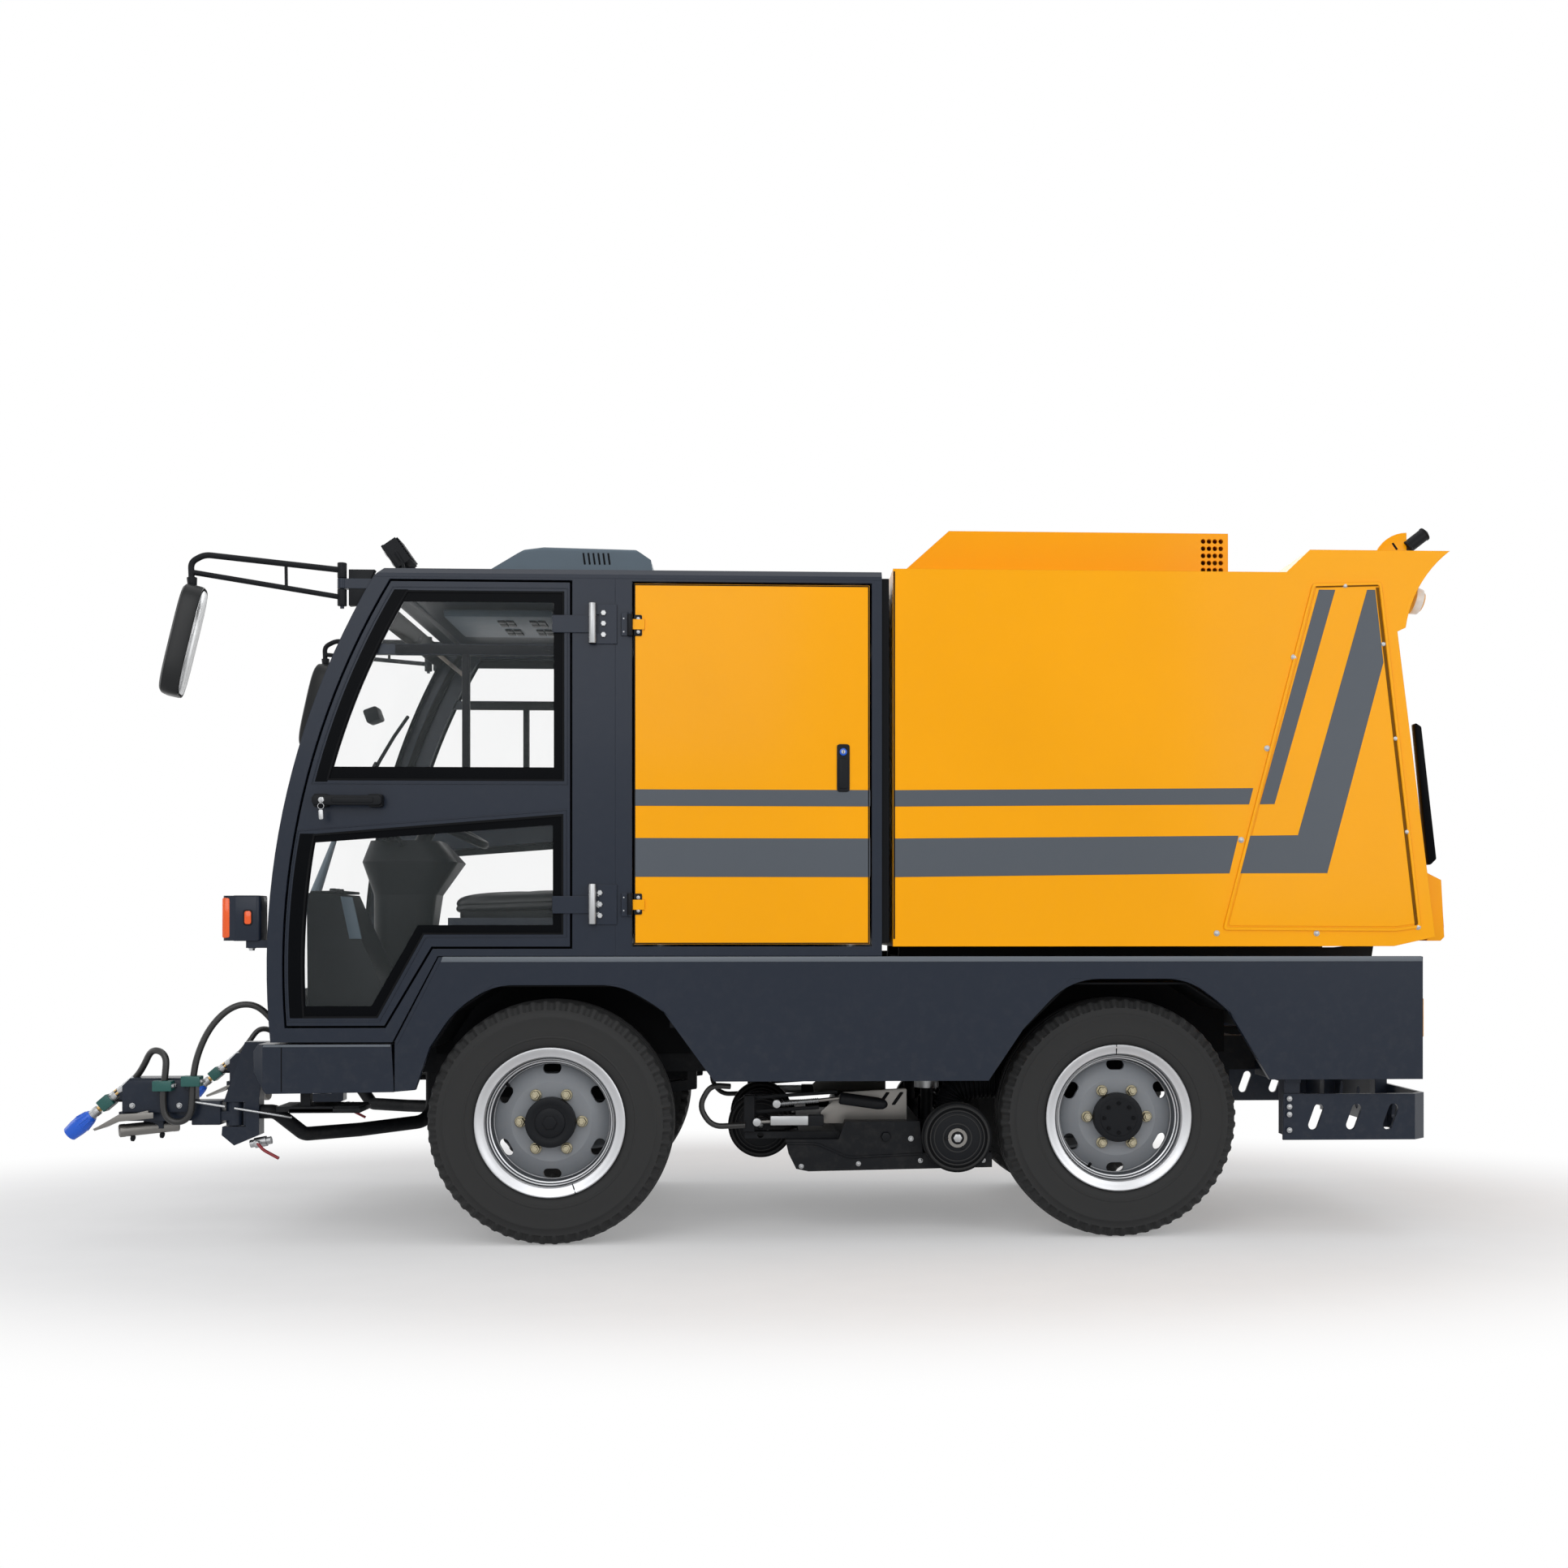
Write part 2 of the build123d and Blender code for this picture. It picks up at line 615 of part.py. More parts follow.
signal_y = half_width - 52
with BuildPart() as turn_signals:
    for _, sign in SIDES:
        with BuildSketch(Plane.XY.offset(930)):
            with Locations((fx(924), sign * signal_y)):
                RectangleRounded(112, 92, 18)
        extrude(amount=136)
        bracket_rear = cab_front_x(908)
        with Locations(((bracket_rear + fx(912)) / 2, sign * (signal_y + 22), 920)):
            Box(fx(912) - bracket_rear, 26, 24)
finish(turn_signals, "turn_signals")

# ---- skirts and bumpers --------------------------------------------------------------------
skirt_front = 464
skirt_rear = tank_rear + 39
front_arch = ((skirt_front, 473), (403, 478), (359, 608), (286, 718), (169, 795), (-216, 795), (-339, 722),
              (-500, skirt_bottom))
rear_arch = tuple(
    (x - wheelbase, z)
    for x, z in ((420, skirt_bottom), (312, 660), (168, 812), (-197, 812), (-320, 720), (-453, skirt_bottom))
)

for side, sign in SIDES:
    with BuildPart() as skirt:
        with BuildSketch(side_plane(sign, half_width, skirt_wall)):
            with BuildLine():
                Polyline(
                    *[(fx(x), z) for x, z in front_arch],
                    *[(fx(x), z) for x, z in rear_arch],
                    (fx(skirt_rear), skirt_bottom),
                    (fx(skirt_rear), sill_height - 3),
                    (fx(raised_floor_front - 5), sill_height - 3),
                    (fx(footwell_rear - 7), footwell_floor - 3),
                    close=True,
                )
            make_face()
        extrude(amount=skirt_wall)
        with Locations((fx(-230), sign * (half_width - skirt_wall - 12), sill_height - 20)):
            Box(40, 24, 30)
    finish(skirt, f"skirt_{side}")

liner_top = 800
liner_width = 330
liner_skin = 6
with BuildPart() as wheel_arch_liners:
    for _, sign in SIDES:
        for arch in (front_arch[2:7], rear_arch[1:5]):
            inner = [(fx(x), min(z, liner_top)) for x, z in arch]
            with BuildSketch(side_plane(sign, half_width - skirt_wall, liner_width)):
                with BuildLine():
                    FilletPolyline(*inner, radius=30)
                    offset(amount=liner_skin, side=Side.LEFT)
                make_face()
            extrude(amount=liner_width)
finish(wheel_arch_liners, "wheel_arch_liners")

bumper_bottom = 468
bumper_top = footwell_floor - 6
bumper_wall = 45
with BuildPart() as front_bumper:
    with BuildSketch(Plane.XZ):
        with BuildLine():
            Polyline((fx(skirt_front + 2), bumper_bottom + 4), (fx(849), bumper_bottom), (fx(893), 531),
                     (fx(896), 594), (fx(876), bumper_top), (fx(skirt_front + 10), bumper_top), close=True)
        make_face()
    extrude(amount=half_width, both=True)
    with BuildSketch(Plane.XY.offset(bumper_bottom)):
        with BuildLine():
            Polyline((fx(skirt_front), half_width), (fx(858), half_width), (fx(896), half_width - 38),
                     (fx(896), 38 - half_width), (fx(858), -half_width), (fx(skirt_front), -half_width), close=True)
        make_face()
    extrude(amount=bumper_top - bumper_bottom, mode=Mode.INTERSECT)
    with Locations((fx(849 - bumper_wall) - 500, 0, bumper_bottom + 60)):
        Box(1000, 2 * (half_width - bumper_wall), 400, mode=Mode.SUBTRACT)
finish(front_bumper, "front_bumper")

rear_bumper_y = 640
rear_bumper_top = 450
rear_bumper_bottom = 306
rear_bumper_front = tank_rear + 459
rear_bumper_rear = tank_rear - 3
bumper_plate = 12
with BuildPart() as rear_bumper:
    with BuildSketch(Plane.XY.offset(rear_bumper_bottom)):
        with BuildLine():
            Polyline(
                (fx(rear_bumper_front), rear_bumper_y), (fx(rear_bumper_rear + 45), rear_bumper_y),
                (fx(rear_bumper_rear), rear_bumper_y - 45), (fx(rear_bumper_rear), -rear_bumper_y + 45),
                (fx(rear_bumper_rear + 45), -rear_bumper_y), (fx(rear_bumper_front), -rear_bumper_y),
            )
            offset(amount=bumper_plate, side=Side.LEFT, closed=True)
        make_face()
    extrude(amount=rear_bumper_top - rear_bumper_bottom)
    for ahead in (359, 239, 122):
        with BuildSketch(Plane.XZ):
            with Locations((fx(rear_bumper_rear + ahead), 378)):
                SlotOverall(84, 30, rotation=110)
        extrude(amount=rear_bumper_y + 20, both=True, mode=Mode.SUBTRACT)
    with BuildSketch(Plane.YZ.offset(fx(rear_bumper_rear - 20))):
        with GridLocations(180, 1, 5, 1):
            with Locations((0, 378)):
                SlotOverall(84, 30, rotation=70)
    extrude(amount=60, mode=Mode.SUBTRACT)
    for _, sign in SIDES:
        with Locations((fx(rear_bumper_rear) + bumper_plate + 20, sign * rail_y, (rear_bumper_bottom + 560) / 2)):
            Box(40, 50, 560 - rear_bumper_bottom)
        with Locations(((rail_rear + fx(rear_bumper_rear)) / 2 + 6, sign * rail_y, 535)):
            Box(rail_rear - fx(rear_bumper_rear) - 12, 50, 50)
        with Locations((fx(rear_bumper_front - 30), sign * (rear_bumper_y - 40), 415)):
            Box(50, 60, 190)
        with Locations((fx(rear_bumper_front - 30), sign * (rear_bumper_y + rail_outer) / 2, 505)):
            Box(50, rear_bumper_y - rail_outer, 40)
finish(rear_bumper, "rear_bumper")

# ---- battery, box and its doors ------------------------------------------------------------
with BuildPart() as battery_pack:
    with Locations((fx(-633), 0, (rail_top + outrigger + sill_height - 14) / 2)):
        Box(540, 2 * (half_width - skirt_wall - 20), sill_height - rail_top - outrigger - 14)
finish(battery_pack, "battery_pack")

box_front = cab_rear
box_floor = tank_floor
box_door_front = -251
box_door_rear = -981
box_door_top = 2022
with BuildPart() as equipment_box:
    with Locations((fx((box_front + box_rear) / 2), 0, (sill_height + roof_underside) / 2)):
        Box(box_front - box_rear, 2 * half_width, roof_underside - sill_height)
    with Locations((fx((box_door_front + box_door_rear) / 2), 0, (box_floor + roof_underside) / 2)):
        Box(box_door_front - box_door_rear, 2 * (half_width - body_wall - 5), roof_underside - box_floor,
            mode=Mode.SUBTRACT)
    with Locations((fx((box_door_front + box_door_rear) / 2), 0, (box_floor + box_door_top) / 2)):
        Box(box_door_front - box_door_rear, 2 * half_width + 2, box_door_top - box_floor, mode=Mode.SUBTRACT)
    for x in (fx(box_front - 60), fx(box_rear + 60)):
        for _, sign in SIDES:
            with Locations((x, sign * rail_y, (rail_top + sill_height) / 2)):
                Box(cab_mount, cab_mount, sill_height - rail_top)
    for _, sign in SIDES:
        hinge_side(sign, fx(box_door_front + 6), half_width + 9, 7, hinge_heights, 70, -44, False)
finish(equipment_box, "equipment_box")

for side, sign in SIDES:
    with BuildPart() as equipment_door:
        with Locations((fx((box_door_front + box_door_rear) / 2), sign * (half_width - body_wall / 2),
                        (box_floor + box_door_top) / 2)):
            Box(box_door_front - box_door_rear - 2 * door_gap, body_wall, box_door_top - box_floor - 2 * door_gap)
        hinge_side(sign, fx(box_door_front + 6), half_width + 9, 7, hinge_heights, 70, -44, True)
    finish(equipment_door, f"equipment_door_{side}")

# ---- tank ----------------------------------------------------------------------------------
tank_roof = 2068
flare_top = 2138
flare_rear = tank_rear - 46
flare_foot = (tank_rear + 119, 1887)
tank_pivot_x = tail_x(71)
tank_pivot_z = 925
tank_pivot_radius = 9
lug_radius = 18
subframe_top = tank_floor - 8
subframe_front = fx(tank_front - 60)
subframe_rear = tail_x(131)


def rear_line_x(height):
    """X of the tank's slanted rear edge at a height."""
    return fx(flare_foot[0]) + (height - flare_foot[1]) * (flare_foot[0] - tank_rear) / (flare_foot[1] - 941)


gate_inset = 5
gate_half = half_width - body_wall - 5 - running_gap
gate_top = 1876
gate_bottom = 960
gate_axis_z = 1868
gate_hinge_y = 420
gate_axis_x = rear_line_x(gate_axis_z) - 16
with BuildPart() as tank_subframe:
    for _, sign in SIDES:
        with Locations(((subframe_front + subframe_rear) / 2, sign * rail_y, subframe_top - 30)):
            Box(subframe_front - subframe_rear, rail_width, 60)
        for x in (fx(-1130), fx(-1500), fx(-2050), tail_x(171)):
            with Locations((x, sign * rail_y, (rail_top + subframe_top) / 2)):
                Box(70, rail_width, subframe_top - rail_top)
        with BuildSketch(side_plane(sign, rail_outer, rail_width)) as lug:
            with Locations((tank_pivot_x, tank_pivot_z)):
                Circle(lug_radius)
            with BuildLine():
                Polyline((tail_x(171), subframe_top - 60), (tail_x(171), subframe_top), (tail_x(91), subframe_top + 8),
                         (tank_pivot_x - lug_radius + 2, tank_pivot_z - 8),
                         (tank_pivot_x - 4, subframe_top - 60), close=True)
            make_face()
            with Locations((tank_pivot_x, tank_pivot_z)):
                Circle(tank_pivot_radius + 0.5, mode=Mode.SUBTRACT)
        extrude(amount=rail_width)
    for x in (fx(-1130), fx(-2050)):
        with Locations((x, 0, subframe_top - 60)):
            Box(60, 2 * rail_outer - 20, 60)
finish(tank_subframe, "tank_subframe")

with BuildPart() as debris_tank:
    with BuildSketch(Plane.XZ):
        with BuildLine():
            Polyline((fx(flare_rear), flare_top), (tail_x(393), flare_top), (tail_x(467), tank_roof),
                     (fx(tank_front), tank_roof), (fx(tank_front), tank_floor), (tail_x(130), tank_floor),
                     (fx(tank_rear), 941), (fx(flare_foot[0]), flare_foot[1]), (tail_x(93), 1899))
            ThreePointArc((tail_x(93), 1899), (tail_x(49), 2029), (fx(flare_rear), flare_top))
        make_face()
    extrude(amount=half_width, both=True)
    with BuildSketch(Plane.XZ):
        with BuildLine():
            Polyline(
                (fx(tank_front - body_wall), tank_floor + body_wall),
                (fx(tank_front - body_wall), tank_roof - body_wall),
                (tail_x(448), tank_roof - body_wall), (tail_x(375), flare_top - body_wall),
                (tail_x(51), flare_top - body_wall), (tail_x(121), 1960), (tail_x(171), flare_foot[1] - 2),
                (rear_line_x(flare_foot[1] - 2) - 60, flare_foot[1] - 2),
                (rear_line_x(tank_floor + body_wall) - 60, tank_floor + body_wall), close=True,
            )
        make_face()
    extrude(amount=half_width - body_wall - 5, both=True, mode=Mode.SUBTRACT)
    for _, sign in SIDES:
        with Locations(Plane(origin=(tank_pivot_x, sign * rail_y, tank_pivot_z), z_dir=(0, 1, 0))):
            Cylinder(lug_radius + 7, rail_width + 14, mode=Mode.SUBTRACT)
            Cylinder(tank_pivot_radius, rail_width + 60)
        with Locations((tail_x(91), sign * rail_y, tank_floor + 6)):
            Box(70, rail_width + 14, 14, mode=Mode.SUBTRACT)
        with Locations(Plane(origin=(tank_pivot_x, sign * rail_y, tank_pivot_z), z_dir=(0, 1, 0))):
            Cylinder(tank_pivot_radius, rail_width + 60)
        with Locations(Plane(origin=(gate_axis_x, sign * gate_hinge_y, gate_axis_z), z_dir=(0, 1, 0))):
            Cylinder(6, 130)
        for end in (-1, 1):
            hinge_y = sign * gate_hinge_y + end * 50
            with Locations(Plane(origin=(gate_axis_x, hinge_y, gate_axis_z), z_dir=(0, 1, 0))):
                Cylinder(12, 24)
            with Locations((gate_axis_x - 6, hinge_y, gate_axis_z + 22)):
                Box(12, 24, 44)
finish(debris_tank, "debris_tank")

hood_half = 480
hood_top = 2234
hood_skin = 10
hood_front = fx(-1055)
hood_crest = fx(-1240)
hood_rear = tail_x(592)
grille_pitch_x = 19
grille_pitch_z = 23
grille_hole = 7.5
with BuildPart() as tank_hood:
    with BuildSketch(Plane.XZ):
        with BuildLine():
            Polyline((hood_front, tank_roof), (hood_crest, hood_top), (hood_rear, hood_top), (hood_rear, tank_roof),
                     close=True)
        make_face()
    extrude(amount=hood_half, both=True)
    with BuildSketch(Plane.XZ):
        with BuildLine():
            Polyline((hood_front - 1.7 * hood_skin, tank_roof), (hood_crest - hood_skin / 2, hood_top - hood_skin),
                     (hood_rear + hood_skin, hood_top - hood_skin), (hood_rear + hood_skin, tank_roof), close=True)
        make_face()
    extrude(amount=hood_half - hood_skin, both=True, mode=Mode.SUBTRACT)
    with BuildSketch(Plane.XZ):
        with Locations((hood_rear + hood_skin + 2.2 * grille_pitch_x, (tank_roof + hood_top) / 2)):
            with GridLocations(grille_pitch_x, grille_pitch_z, 4, 6):
                Circle(grille_hole)
    extrude(amount=hood_half + 1, both=True, mode=Mode.SUBTRACT)
finish(tank_hood, "tank_hood")

with BuildPart() as tailgate:
    with BuildSketch(Plane.XZ):
        with BuildLine():
            Polyline((rear_line_x(gate_top) + gate_inset, gate_top),
                     (rear_line_x(gate_top) + gate_inset + body_wall, gate_top),
                     (rear_line_x(gate_bottom) + gate_inset + body_wall, gate_bottom),
                     (rear_line_x(gate_bottom) + gate_inset, gate_bottom), close=True)
        make_face()
    extrude(amount=gate_half, both=True)
    with BuildSketch(Plane.XZ):
        with BuildLine():
            Polyline((rear_line_x(1165) + gate_inset, 1165), (tail_x(-57), 1120), (tail_x(-67), 940), (tail_x(-55), 928),
                     (fx(tank_rear - 12), 928), (fx(tank_rear - 12), 957), (rear_line_x(972) + gate_inset, 972),
                     close=True)
        make_face()
    extrude(amount=600, both=True)
    for _, sign in SIDES:
        with Locations(Plane(origin=(gate_axis_x, sign * gate_hinge_y, gate_axis_z), z_dir=(0, 1, 0))):
            Cylinder(12, 70)
        with Locations((gate_axis_x + 12, sign * gate_hinge_y, gate_axis_z - 40)):
            Box(26, 70, 80)
        with Locations(Plane(origin=(gate_axis_x, sign * gate_hinge_y, gate_axis_z), z_dir=(0, 1, 0))):
            Cylinder(6.5, 80, mode=Mode.SUBTRACT)
finish(tailgate, "tailgate")

with BuildPart() as tank_top_lamp:
    for _, sign in SIDES:
        with Locations((tail_x(31), sign * 300, flare_top + 32)):
            Box(110, 12, 64)
        with Locations(Location((tail_x(-14), sign * 300, flare_top + 86), (0, 60, 0))):
            Cylinder(22, 110)
finish(tank_top_lamp, "tank_top_lamps")

seal_depth = 22
seal_width = 40
seal_half = half_width - 6
seal_bottom = tank_floor + 10
seal_top = tank_roof - 30
seal_joint = 0.5               # butt joint between two strips
with BuildPart() as tank_seal:
    for _, sign in SIDES:
        with Locations((fx(box_rear) - seal_depth / 2, sign * (seal_half - seal_width / 2),
                        (seal_bottom + seal_top) / 2)):
            Box(seal_depth, seal_width, seal_top - seal_bottom)
    for z in (seal_bottom + seal_width / 2, seal_top - seal_width / 2):
        with Locations((fx(box_rear) - seal_depth / 2, 0, z)):
            Box(seal_depth, 2 * (seal_half - seal_width - seal_joint), seal_width)
finish(tank_seal, "tank_seal")

# ---- mirrors -------------------------------------------------------------------------------
mirror_tube = 9
mirror_y = half_width + 95
for side, sign in SIDES:
    with BuildPart() as mirror:
        with Locations((mirror_pivot_x, sign * mirror_pivot_y, mirror_pivot_z + 50)):
            Cylinder(mirror_pivot_radius, 46)
        with Locations((mirror_pivot_x, sign * mirror_pivot_y, mirror_pivot_z - 32)):
            Cylinder(mirror_pivot_radius, 50)
        with BuildLine() as upper_arm:
            FilletPolyline((mirror_pivot_x + 6, sign * mirror_pivot_y, mirror_pivot_z + 52),
                           (fx(1000), sign * mirror_y, 2072), (fx(1040), sign * mirror_y, 2050),
                           (fx(1036), sign * mirror_y, 1960), radius=18)
        with BuildSketch(Plane(origin=upper_arm.line @ 0, z_dir=upper_arm.line % 0)):
            Circle(mirror_tube)
        sweep(path=upper_arm.line)
        with BuildLine() as lower_arm:
            Line((mirror_pivot_x + 6, sign * mirror_pivot_y, mirror_pivot_z - 30), (fx(1038), sign * mirror_y, 2020))
        with BuildSketch(Plane(origin=lower_arm.line @ 0, z_dir=lower_arm.line % 0)):
            Circle(mirror_tube - 1)
        sweep(path=lower_arm.line)
        with Locations((fx(780), sign * (mirror_pivot_y + 40), 2026)):
            Box(12, 12, 84)
        with BuildSketch(Plane(origin=(fx(1064), sign * mirror_y, 1815), x_dir=(0, 1, 0), z_dir=(0.96, 0, 0.28))):
            RectangleRounded(190, 340, 60)
        extrude(amount=45, both=True)
        fillet(mirror.faces().sort_by(Axis.X)[-1].edges(), 20)
        with Locations((mirror_pivot_x, sign * mirror_pivot_y, mirror_pivot_z)):
            Cylinder(6.4, mirror_pivot_length + 10, mode=Mode.SUBTRACT)
    finish(mirror, f"mirror_{side}")

# ---- front washing arms --------------------------------------------------------------------
arm_y = 545
arm_pivot_x = fx(985)
arm_pin_radius = 9
arm_level = 395
fork_top = 432
fork_bottom = 356
spray_box_rear = 1108
spray_box_front = 1313
spray_box_floor = 403
spray_box_top = 508
lance_start = (fx(1306), 488)
lance_tip = (fx(1490), 331)
lance_length = sqrt((lance_tip[0] - lance_start[0]) ** 2 + (lance_tip[1] - lance_start[1]) ** 2)
lance_dir = ((lance_tip[0] - lance_start[0]) / lance_length, 0, (lance_tip[1] - lance_start[1]) / lance_length)

with BuildPart() as front_columns:
    for _, sign in SIDES:
        with BuildSketch(side_plane(sign, arm_y + 28, 56)):
            with BuildLine():
                Polyline((fx(876), bumper_top), (fx(947), bumper_top), (fx(1012), fork_top), (fx(945), fork_top),
                         (fx(945), fork_bottom), (fx(1016), fork_bottom), (fx(1018), 330), (fx(980), 298),
                         (fx(904), 330), (fx(904), 440), (fx(893), 531), (fx(896), 594), close=True)
            make_face()
        extrude(amount=56)
        with Locations((arm_pivot_x, sign * arm_y, (fork_top + fork_bottom) / 2)):
            Cylinder(arm_pin_radius, fork_top - fork_bottom + 10)
finish(front_columns, "front_columns")


def along_lance(sign, distance):
    """Plane across the lance at a distance from its hose end."""
    return Plane(origin=(lance_start[0] + lance_dir[0] * distance, sign * arm_y,
                         lance_start[1] + lance_dir[2] * distance), z_dir=lance_dir)


for side, sign in SIDES:
    with BuildPart() as spray_arm:
        with Locations((arm_pivot_x, sign * arm_y, arm_level)):
            Cylinder(26, fork_top - fork_bottom - 3)
        with Locations(((arm_pivot_x + fx(1330)) / 2, sign * arm_y, arm_level - 6)):
            Box(fx(1330) - arm_pivot_x, 52, 28)
        with Locations((fx((spray_box_rear + spray_box_front) / 2), sign * arm_y,
                        (spray_box_floor + spray_box_top) / 2)):
            Box(spray_box_front - spray_box_rear, 90, spray_box_top - spray_box_floor)
        chamfer(spray_arm.edges().filter_by(Axis.Y).group_by(Axis.Z)[-1].sort_by(Axis.X)[-1], 24)
        with BuildSketch(side_plane(sign, arm_y + 55, 110)):
            with BuildLine():
                Polyline((fx(1232), 408), (fx(1320), 388), (fx(1394), 354), (fx(1392), 350), (fx(1318), 384),
                         (fx(1232), 402), close=True)
            make_face()
        extrude(amount=110)
        with Locations(Plane(origin=(fx(1250), sign * (arm_y - 10), 350), z_dir=(0.9, sign * 0.42, -0.06))):
            Cylinder(19, 170)
        with Locations((fx(1235), sign * (arm_y - 18), 368)):
            Box(60, 30, 40)
        with Locations((fx(1318), sign * arm_y, 450)):
            Box(30, 30, 22)
        with Locations(along_lance(sign, 112)):
            Cylinder(8, 76)
        with Locations(along_lance(sign, 20)):
            Cylinder(11, 40)
        with Locations(along_lance(sign, 58)):
            Cylinder(14, 36)
        with Locations(along_lance(sign, 90)):
            Box(38, 40, 34)
        with Locations((fx(1346), sign * arm_y, 440)):
            Box(60, 16, 16)
        with Locations(along_lance(sign, 138)):
            Cylinder(13, 28)
        with Locations(along_lance(sign, 173)):
            Cone(17, 26, 44)
        with Locations(along_lance(sign, 195 + (lance_length - 195) / 2)):
            Cone(26, 17, lance_length - 195)
        for x, z in ((1183, 486), (1097, 500)):
            with Locations((fx(x), sign * (arm_y + 60), z)):
                Box(56, 38, 30)
        with Locations((fx(1103), sign * (arm_y + 40), 486)):
            Box(30, 30, 30)
        with Locations((arm_pivot_x, sign * arm_y, arm_level)):
            Cylinder(arm_pin_radius + 0.5, 100, mode=Mode.SUBTRACT)
    finish(spray_arm, f"spray_arm_{side}")


def hose_radii(points):
    """Bend radius at each inner point: 0.45 of the shorter run over the tangent of half the turn."""
    radii = []
    for before, here, after in zip(points, points[1:], points[2:]):
        run_in = Vector(*here) - Vector(*before)
        run_out = Vector(*after) - Vector(*here)
        half_turn = radians(run_in.get_angle(run_out)) / 2
        radii.append(0.45 * min(run_in.length, run_out.length) * cos(half_turn) / sin(half_turn))
    return radii


for side, sign in SIDES:
    points = [(fx(x), sign * y, z) for x, y, z in hose_route]
    radii = hose_radii(points)
    print(side, "hose radii", [round(radius) for radius in radii])
    with BuildPart() as hose:
        with BuildLine() as route:
            FilletPolyline(*points, radius=radii)
        with BuildSketch(Plane(origin=route.line @ 0, z_dir=route.line % 0)):
            Circle(hose_radius)
        sweep(path=route.line)
    route_length = sum(edge.length for edge in route.edges())
    print(side, "hose volume ratio", round(hose.part.volume / (pi * hose_radius**2 * route_length), 4))
    finish(hose, f"spray_hose_{side}")

# ---- front under-frame ---------------------------------------------------------------------
pipe_radius = 22
with BuildPart() as front_tube_frame:
    for _, sign in SIDES:
        with BuildLine() as pipe:
            FilletPolyline((fx(904), sign * arm_y, 400), (fx(862), sign * arm_y, 400), (fx(790), sign * 480, 322),
                           (fx(640), sign * 380, 324), (fx(440), sign * 215, 335),
                           (fx(440), sign * 215, crossmember_bottom), radius=[30, 40, 60, 60])
        with BuildSketch(Plane(origin=pipe.line @ 0, z_dir=pipe.line % 0)):
            Circle(pipe_radius)
        sweep(path=pipe.line)
        with Locations((fx(742), sign * (half_width - bumper_wall - 65), 418)):
            Box(170, 150, 16)
        with Locations((fx(742), sign * (half_width - bumper_wall - 15), 447)):
            Box(30, 30, 60)
finish(front_tube_frame, "front_tube_frame")

# ---- wash deck -----------------------------------------------------------------------------
deck_half = 560
deck_plate = 12
deck_wheel_radius = 108
deck_wheel_z = 316
deck_axle_radius = 9
deck_wheel_x = fx(-1252)
deck_front_wheel_x = fx(-640)
deck_front_wheel_y = 205
deck_rear_wheel_y = 595
column_x = fx(-1180)
column_y = 350
with BuildPart() as wash_deck:
    with BuildSketch(Plane.XZ):
        with BuildLine():
            Polyline((fx(-718), 306), (fx(-728), 262), (fx(-752), 214), (fx(-790), 206), (fx(-1368), 216),
                     (fx(-1368), 262), (fx(-1150), 262), (fx(-1140), 362), (fx(-905), 362), (fx(-885), 306),
                     close=True)
        make_face()
    extrude(amount=deck_half, both=True)
    with Locations((fx(-1060), 0, 200)):
        Box(560, 2 * (deck_half - deck_plate), 90, mode=Mode.SUBTRACT)
    with Locations((fx(-1025), 0, 300)):
        Box(180, 2 * (deck_half - deck_plate), 200, mode=Mode.SUBTRACT)
    with Locations((fx(-1025), 0, 356)):
        Box(220, 2 * deck_half - 10, 12)
    for _, sign in SIDES:
        with Locations((fx(-740), sign * 500, 316)):
            Box(300, 40, 22)
        with Locations((fx(-732), sign * deck_front_wheel_y, 260)):
            Box(66, 72, 140, mode=Mode.SUBTRACT)
        with Locations((deck_front_wheel_x, sign * 262, 316)):
            Box(40, 16, 60)
        with Locations((fx(-680), sign * 262, 316)):
            Box(120, 16, 24)
    with Locations((fx(-780), 0, 312)):
        Box(40, 1040, 20)
    for _, sign in SIDES:
        with Locations((deck_wheel_x, sign * (deck_half - 12), 290)):
            Box(44, 16, 90)
        with Locations((column_x, sign * column_y, 300)):
            Cylinder(30, 90)
        with Locations((column_x, sign * column_y, 480)):
            Cylinder(20, 440)
    for x in (deck_front_wheel_x, deck_wheel_x):
        with Locations(Plane(origin=(x, 0, deck_wheel_z), z_dir=(0, 1, 0))):
            Cylinder(deck_axle_radius + 0.5, 1300, mode=Mode.SUBTRACT)
finish(wash_deck, "wash_deck")

with BuildPart() as deck_lift_guides:
    for _, sign in SIDES:
        with Locations((column_x, sign * column_y, 585)):
            Cylinder(40, 270)
        with Locations((column_x, sign * (rail_outer + 15), 556)):
            Box(70, 30, 90)
        with Locations((column_x, sign * column_y, 585)):
            Cylinder(20.8, 271, mode=Mode.SUBTRACT)
finish(deck_lift_guides, "deck_lift_guides")

for name, wheel_x, offset_y in (("front", deck_front_wheel_x, deck_front_wheel_y),
                                ("rear", deck_wheel_x, deck_rear_wheel_y)):
    with BuildPart() as deck_wheels:
        for _, sign in SIDES:
            with Locations(Plane(origin=(wheel_x, sign * offset_y, deck_wheel_z), z_dir=(0, 1, 0))):
                Cylinder(deck_wheel_radius, 46)
                with PolarLocations(52, 4):
                    Cylinder(12, 50, mode=Mode.SUBTRACT)
                Cylinder(26, 56)
        with Locations(Plane(origin=(wheel_x, 0, deck_wheel_z), z_dir=(0, 1, 0))):
            Cylinder(deck_axle_radius, 2 * offset_y + 70)
    finish(deck_wheels, f"deck_{name}_wheels")

print("built")
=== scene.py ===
"""Looks of a small battery-electric road cleaning truck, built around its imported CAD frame.

Pieces are built in millimetres, X ahead of the front axle, Y outboard to the left and Z up, and
become metres in the frame's own axes when they are finished.
"""

